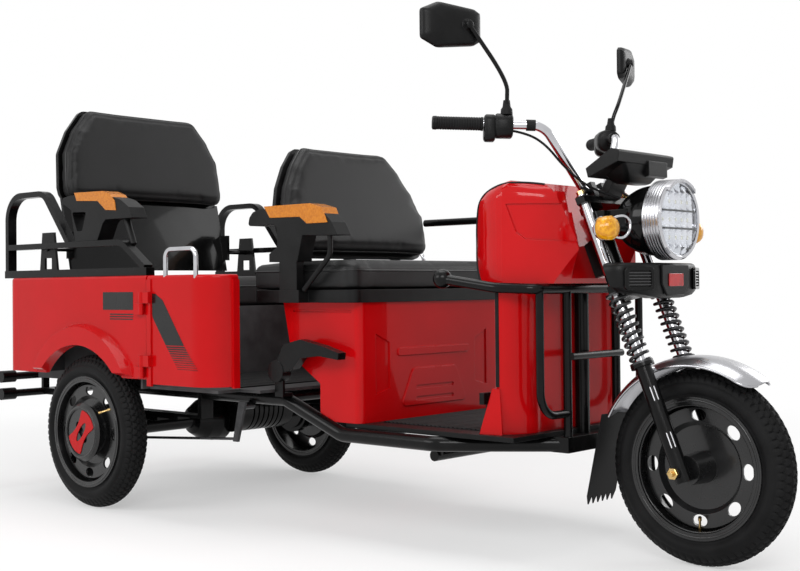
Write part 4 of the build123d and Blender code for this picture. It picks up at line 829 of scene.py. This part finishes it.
def add_front_box():
    """Housing under the headlight: each level is a front run x(|y|) and a rear run along the fork, drawn in
    at top and bottom; it carries a raised middle plate with a reflector and two slanted side lamps."""
    z = np.array([0.6255, 0.6275, 0.633, 0.642, 0.652, 0.67, 0.69, 0.701, 0.7065, 0.7095])[:, None]
    half = np.array([0.05, 0.066, 0.112, 0.156, 0.175, 0.18, 0.18, 0.179, 0.175, 0.166])[:, None]
    inset = np.array([0.012, 0.007, 0.003, 0.001, 0, 0, 0, 0.001, 0.004, 0.01])[:, None]
    share = np.linspace(-1, 1, 41)[None]
    y = half * share
    corner = 0.01 * np.clip((np.abs(share) - 0.9) / 0.1, 0, 1) ** 2
    front_run = np.interp(np.abs(y), [0, 0.07, 0.086, 0.12, 0.18], [1.722, 1.722, 1.719, 1.712, 1.683])
    front_x = front_run - inset - corner
    rear_x = 1.633 + (0.71 - z) * math.tan(RAKE) + 0.001 + inset * 0.5
    box = between(points_of(front_x, y, z), points_of(np.minimum(rear_x, front_x - 0.004), y, z))
    add_piece("lamp_box", box, "steering", "black_plastic", replaced=["horn_box"])
    shield = [(0.062, 0.036), (-0.062, 0.036), (-0.062, -0.01), (-0.04, -0.037), (0.04, -0.037),
              (0.062, -0.01)]
    add_piece("box_plate", slab(shield, (1.721, 0, 0.669), FRONT_FACE, 0.006, 0.0018), "steering",
              "black_plastic")
    reflector = slab(rounded_box(0.068, 0.03, 0.003), (1.727, 0, 0.669), FRONT_FACE, 0.0022, 0.0008)
    add_piece("box_reflector", reflector, "steering", "red_lens")
    centre = np.array([1.705, -0.132, 0.672])
    along, up = unit(np.array([-0.036, -0.09, 0.0])), np.array([0, 0, 1.0])
    normal = np.cross(along, up)
    normal = normal * np.sign(normal[0])
    outer, inner = rounded_box(0.084, 0.054, 0.01), rounded_box(0.066, 0.038, 0.006)
    rings = [outer * 0.99, outer, outer * 0.985, inner, inner * 0.97, inner * 0.6]
    frames = both(stacked(centre, (along, up, normal), rings, (0, 0.004, 0.0065, 0.0065, 0.0025, 0.0025)))
    add_piece("box_lamp_frames", frames, "steering", "gloss_black")
    face = centre + normal * 0.0045
    bars = [tube([face + along * reach + up * z for reach in (-0.031, 0, 0.031)], 0.0016, 8)
            for z in np.linspace(-0.014, 0.014, 5)]
    add_piece("box_lamp_bars", both(*bars), "steering", "black_plastic", TRIM["smoked"])


# Cockpit: ribbed grips, mirrors, switch pods and gauge

BAR_CENTRE = np.array([1.5025, 0.0, 0.8925])
BAR_BEND = (-0.037, 0.165, 0.153)
BAR_TIP = (-0.227, 0.341, 0.162)
GRIP_LENGTH = 0.118
GRIP_CAP = [(0.006, 0.0165), (0.01, 0.0165), (0.012, 0.0125), (0.012, 0.004)]
MIRROR_OUTLINE = [(-0.081, -0.034), (-0.081, 0.034), (-0.036, 0.054), (0.062, 0.044), (0.08, 0.034),
                  (0.08, -0.032), (0.062, -0.043), (-0.036, -0.054)]
MIRROR_BACK = (0.965, 1, 1, 0.965, 0.88, 0.72, 0.45), (0, 0.001, 0.008, 0.014, 0.019, 0.0225, 0.0245)
MIRROR_GLASS = (0.93, 0.93, 0.9, 0.4), (0.0003, -0.0006, -0.0008, -0.0008)
MIRROR_PIVOT = [(0.02, 0.015), (0.026, 0.014), (0.03, 0.0105), (0.036, 0.01), (0.0385, 0.006)]
MIRROR_BOOT = [(0, 0.015), (0.012, 0.014), (0.018, 0.01), (0.034, 0.008)]
BUTTON = [(0, 0.008), (0.006, 0.008), (0.008, 0.006)]


def add_grip(side, word, tip, along):
    """Ribs along the grip: radius 0.0152 + 0.0011 |sin|, one rib every 6.2 mm, between two plain collars."""
    height = np.linspace(0, GRIP_LENGTH, 150)
    ribs = 0.0152 + 0.0011 * np.abs(np.sin(height / 0.0062 * np.pi))
    ribs = np.where(np.minimum(height, GRIP_LENGTH - height) < 0.006, 0.0168, ribs)
    grip = lathe(np.stack([height - 0.112, ribs], -1), tip, along, 32)
    add_piece(f"ribbed_grip_{word}", grip, "steering", "rubber", replaced=once(side, "grips"))
    add_piece(f"grip_end_{word}", lathe(GRIP_CAP, tip, along, 32), "steering", "black_plastic")


def add_mirror(side, word, tip):
    """Head and glass: a smooth outline at the sizes and depths of each; a stalk rises from the switch pod."""
    cos, sin = math.cos(math.radians(20)), math.sin(math.radians(20))
    front, inward, upward = np.array([(cos, side * sin, 0), (sin, -side * cos, 0), (0, 0, 1.0)])
    centre = tip + (0.076, side * 0.041, 0.217)
    outline = closed_curve(MIRROR_OUTLINE)
    back, glass = (stacked(centre, (inward, upward, front), [outline * size for size in sizes], heights)
                   for sizes, heights in (MIRROR_BACK, MIRROR_GLASS))
    boss = centre + 0.036 * inward + 0.002 * upward
    head = together([back, lathe(MIRROR_PIVOT, boss, front, 24)])
    add_piece(f"mirror_head_{word}", head, "steering", "black_plastic", replaced=once(side, "mirrors"))
    route = rounded([tip + (0.129, -side * 0.109, 0.004), tip + (0.133, -side * 0.106, 0.05),
                     tip + (0.146, -side * 0.091, 0.095), boss + 0.031 * front], 3)
    add_piece(f"mirror_stalk_{word}", tube(route, 0.0052, 14), "steering", "gloss_black")
    add_piece(f"mirror_glass_{word}", glass, "steering", "chrome", TRIM["looking_glass"])


def add_pod(side, word, tip, along, bend):
    """Two rounded blocks on the bar inside the grip, a button, the mirror's boot and the cable's clip."""
    level = unit(np.cross((0, 0, 1.0), along))
    lift = np.cross(along, level)
    blocks = []
    for outline, near, far, drop in ((rounded_box(0.05, 0.066, 0.018), 0.114, 0.142, -0.01),
                                     (rounded_box(0.058, 0.06, 0.024), 0.14, 0.184, -0.004)):
        length = far - near
        levels = ((0, 0.006), (0.002, 0.002), (0.005, 0), (length - 0.005, 0), (length - 0.002, 0.002),
                  (length, 0.006))
        blocks.append(slab(outline, tip - along * far + lift * drop, (level, lift), length, levels=levels))
    add_piece(f"switch_pod_{word}", together(blocks), "steering", "black_plastic",
              replaced=once(side, "switch_pods"))
    button = lathe(BUTTON, tip - along * 0.128 - level * 0.023, -level, 24)
    add_piece(f"pod_button_{word}", button, "steering", "red_lens")
    boot = lathe(MIRROR_BOOT, tip + (0.129, -side * 0.109, 0.018), (0.03, side * 0.02, 0.99), 24)
    add_piece(f"mirror_boot_{word}", boot, "steering", "rubber")
    clip = tube(rounded([bend + along * place for place in (0.02, 0.03, 0.042)], 1), 0.0138, 20)
    add_piece(f"cable_clip_{word}", clip, "steering", "rubber")


def add_gauge():
    """Housing: a rounded rectangle at each height, given by its half width and its rear and front x."""
    rings = []
    for z, half, rear, front in ((0.903, 0.05, 1.594, 1.626), (0.906, 0.058, 1.588, 1.632),
                                 (0.928, 0.08, 1.574, 1.643), (0.952, 0.1, 1.596, 1.648)):
        ring = rounded_box(2 * half, front - rear, 0.012)
        rings.append(points_of(ring[:, 1] + (rear + front) / 2, ring[:, 0], z))
    add_piece("gauge_housing", loft(rings), "steering", "black_plastic")
    slope = -unit(np.array([72.0, 0.0, 38.0]))
    middle = BAR_CENTRE + (0.0935, 0, 0.0675) + 0.0002 * np.cross((0, 1, 0), slope)
    screen = slab(rounded_box(0.15, 0.05, 0.01), middle, ((0, 1, 0), slope), 0.0028, 0.001)
    add_piece("gauge_glass", screen, "steering", "gloss_black", TRIM["smoked"])


def add_cockpit():
    for side, word in SIDES:
        bend, tip = (BAR_CENTRE + (x, side * y, z) for x, y, z in (BAR_BEND, BAR_TIP))
        along = unit(tip - bend)
        add_grip(side, word, tip, along)
        add_mirror(side, word, tip)
        add_pod(side, word, tip, along, bend)
    add_gauge()


FENDER_HALF = 0.064


def add_fender():
    """Mudguard: at each angle round the hub a crowned section, radius falling towards the sides by the share
    of the half width to the power 3.2; the sheet is 2 mm thick and narrows at its front end."""
    turn = np.radians(np.linspace(52, 153, 90))[:, None]
    start = np.clip((turn - math.radians(52)) / math.radians(9), 0, 1)
    half = FENDER_HALF * (0.45 + 0.55 * np.sqrt(1 - (1 - start) ** 2))
    share = np.linspace(-1, 1, 33)[None]
    outer = 0.262 - 0.022 * np.abs(share) ** 3.2 * (half / FENDER_HALF)
    top, under = (points_of(WHEELBASE + radius * np.cos(turn), width * share,
                            HUB_HEIGHT + radius * np.sin(turn))
                  for radius, width in ((outer, half), (outer - 0.002, half - 0.002)))
    roll = tube(top[:, 0] + (0, 0.0005, 0), 0.003, 8)
    stay = tube(on_fork([[0, -0.06, 0.2465], [0, -0.075, 0.248], [0, -0.086, 0.248]]), 0.007, 12)
    add_piece("mudguard", together([between(top, under), both(roll, stay)]), "steering",
              "silver_paint", replaced=["front_fender"])


def hoop(centre, radius, size, sides=14, count=120):
    """Rolled bead round a sideways axis: a small circle of the given size turned round the centre."""
    angle, turn = full_turn(sides)[None], full_turn(count)[:, None]
    reach = radius + size * np.cos(angle)
    points = points_of(reach * np.cos(turn), size * np.sin(angle), reach * np.sin(turn))
    return grid(points + centre, closed_u=True, closed_v=True)


def add_rim_rings():
    """Rolled beads on the rims, at each (radius, distance from the wheel's middle, size)."""
    shapes = [hoop((WHEELBASE, side * out, HUB_HEIGHT), radius, size)
              for radius, out, size in ((0.159, 0.0375, 0.0032), (0.148, 0.033, 0.0026)) for side in (-1, 1)]
    add_piece("front_rim_beads", together(shapes), "front_wheel", "wheel_black")
    for side, word in SIDES:
        shapes = [hoop((0, side * HALF_TRACK + end * 0.0375, HUB_HEIGHT), 0.159, 0.0032) for end in (-1, 1)]
        add_piece(f"rear_rim_beads_{word}", together(shapes), f"rear_wheel_{word}", "wheel_black")


def add_cowl_edging():
    """Rubber edge on the cowl: a side view line cast sideways on to the cowl's flank, then smoothed."""
    tree = BVHTree.FromObject(nodes["cowl"], fresh_graph())
    line = rounded([(1.512, 0, 0.89), (1.47, 0, 0.904), (1.4, 0, 0.9085), (1.318, 0, 0.886),
                    (1.296, 0, 0.82), (1.272, 0, 0.762), (1.29, 0, 0.715), (1.318, 0, 0.67)], 3)
    hits = [tree.ray_cast(Vector((x - SHIFT_X, -0.6, z)), Vector((0, 1, 0)))[0] for x, _, z in line]
    route = np.array([tuple(hit) for hit in hits if hit and hit.y < -0.08]) + (SHIFT_X, 0, 0)
    for _ in range(3):
        route[1:-1] = (route[:-2] + route[1:-1] + route[2:]) / 3
    add_piece("cowl_edging", both(tube(route, 0.0036, 10)), "chassis", "rubber")


def add_knobs():
    """Round knobs on the ends of the guard bars: a half circle turned round each bar's run."""
    turn = np.linspace(0.12, np.pi - 0.12, 20)
    profile = np.stack([-0.024 * np.cos(turn), 0.024 * np.sin(turn)], -1)
    knob = lathe(profile, (1.236, -0.278, 0.677), (-0.99, 0, 0.14), 32)
    add_piece("guard_knobs", both(knob), "chassis", "black_paint")


def ribbed_mat(rear, front, half, rows, top, rib, pitch, low):
    """Mat from rear to front: height is top plus rib times three times a sine of x, cut off at -0.4 and 1."""
    x = np.linspace(rear, front, rows)[:, None]
    y = np.linspace(-half, half, 4)[None]
    height = top + rib * np.clip(np.sin(x / pitch * 2 * np.pi) * 3, -0.4, 1)
    return between(points_of(x, y, height), points_of(x, y, low))


def add_trims():
    """Rubber edges on the shield, ribbed mats, bolts, tail lamp ribs and the bare rear plate."""
    edges = [tube(rounded([(1.388, side * 0.2555, z) for z in (0.415, 0.52, 0.655)], 1), 0.0055, 10)
             for side in (-1, 1)]
    add_piece("shield_edging", together(edges), "chassis", "rubber")
    mat = ribbed_mat(0.985, 1.385, 0.225, 380, top=0.3028, rib=0.0016, pitch=0.0145, low=0.3002)
    add_piece("floor_mat", mat, "chassis", "rubber")
    mat = ribbed_mat(0.11, 0.56, 0.355, 320, top=0.381, rib=0.0014, pitch=0.018, low=0.3791)
    add_piece("tub_mat", mat, "chassis", "rubber")
    head = [(0, 0.0055), (0.0006, 0.0062), (0.0042, 0.0062), (0.005, 0.0052)]
    washer = [(0, 0.0095), (0.0012, 0.0095), (0.0013, 0.007)]
    heads = [lathe(head, (-0.4492, -0.26, z), (-1, 0, 0), 6) for z in (0.318, 0.35)]
    discs = [lathe(washer, (-0.448, -0.26, z), (-1, 0, 0), 20) for z in (0.318, 0.35)]
    add_piece("fastener_heads", both(*heads), "chassis", "spring_steel", TRIM["zinc"], smooth=False)
    add_piece("fastener_discs", both(*discs), "chassis", "spring_steel", TRIM["zinc"])
    ribs = [slab(rounded_box(0.047, 0.006, 0.002, 4), (-0.4362, -0.4125, z), REAR_FACE, 0.0022)
            for z in np.arange(0.528, 0.636, 0.011)]
    add_piece("tail_lamp_ribs", both(*ribs), "chassis", "red_lens")
    plate = slab(rounded_box(0.2, 0.11, 0.01), (-0.4285, 0, 0.56), REAR_FACE, 0.0022)
    add_piece("rear_plate", plate, "chassis", "silver_paint", TRIM["plate_white_and_painted_highlight"])
    clamp_nut = [(0, 0.0095), (0.001, 0.0105), (0.01, 0.0105), (0.011, 0.0095)]
    tops = [lathe(clamp_nut, on_fork([0.0, side * LEG_Y, 0.6965]), on_fork([0, 0, 1]) - on_fork([0, 0, 0]), 6)
            for side in (-1, 1)]
    add_piece("fork_top_nuts", together(tops), "steering", "spring_steel", TRIM["brass"], smooth=False)


# Control cables from the switch pods to the lamp housing

CABLE_ROUTE = [(1.408, 0.217, 1.034), (1.44, 0.192, 1.026), (1.47, 0.16, 0.998), (1.49, 0.12, 0.95),
               (1.52, 0.075, 0.905), (1.565, 0.045, 0.88), (1.6, 0.04, 0.868)]


def add_cable(name, route, diameter):
    curve = bpy.data.curves.new(name, "CURVE")
    curve.dimensions = "3D"
    curve.bevel_depth = diameter / 2
    curve.bevel_resolution = 4
    curve.resolution_u = 16
    curve.use_fill_caps = True
    spline = curve.splines.new("NURBS")
    spline.points.add(len(route) - 1)
    for point, place in zip(spline.points, route):
        point.co = (*at(*place), 1)
    spline.order_u = 3
    spline.use_endpoint_u = True
    curve.materials.append(MATERIALS["rubber"])
    cable = bpy.data.objects.new(name, curve)
    scene.collection.objects.link(cable)
    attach(cable, "steering")


def add_cables():
    for side, word in SIDES:
        add_cable(f"switch_cable_{word}", [(x, side * y, z) for x, y, z in CABLE_ROUTE], 0.006)


for add_group in (add_camera, add_wheels, add_seats, add_stripes, add_headlight, add_signals, add_front_box,
                  add_cockpit, add_fender, add_rim_rings, add_cowl_edging, add_knobs, add_trims, add_cables,
                  add_studio):
    add_group()
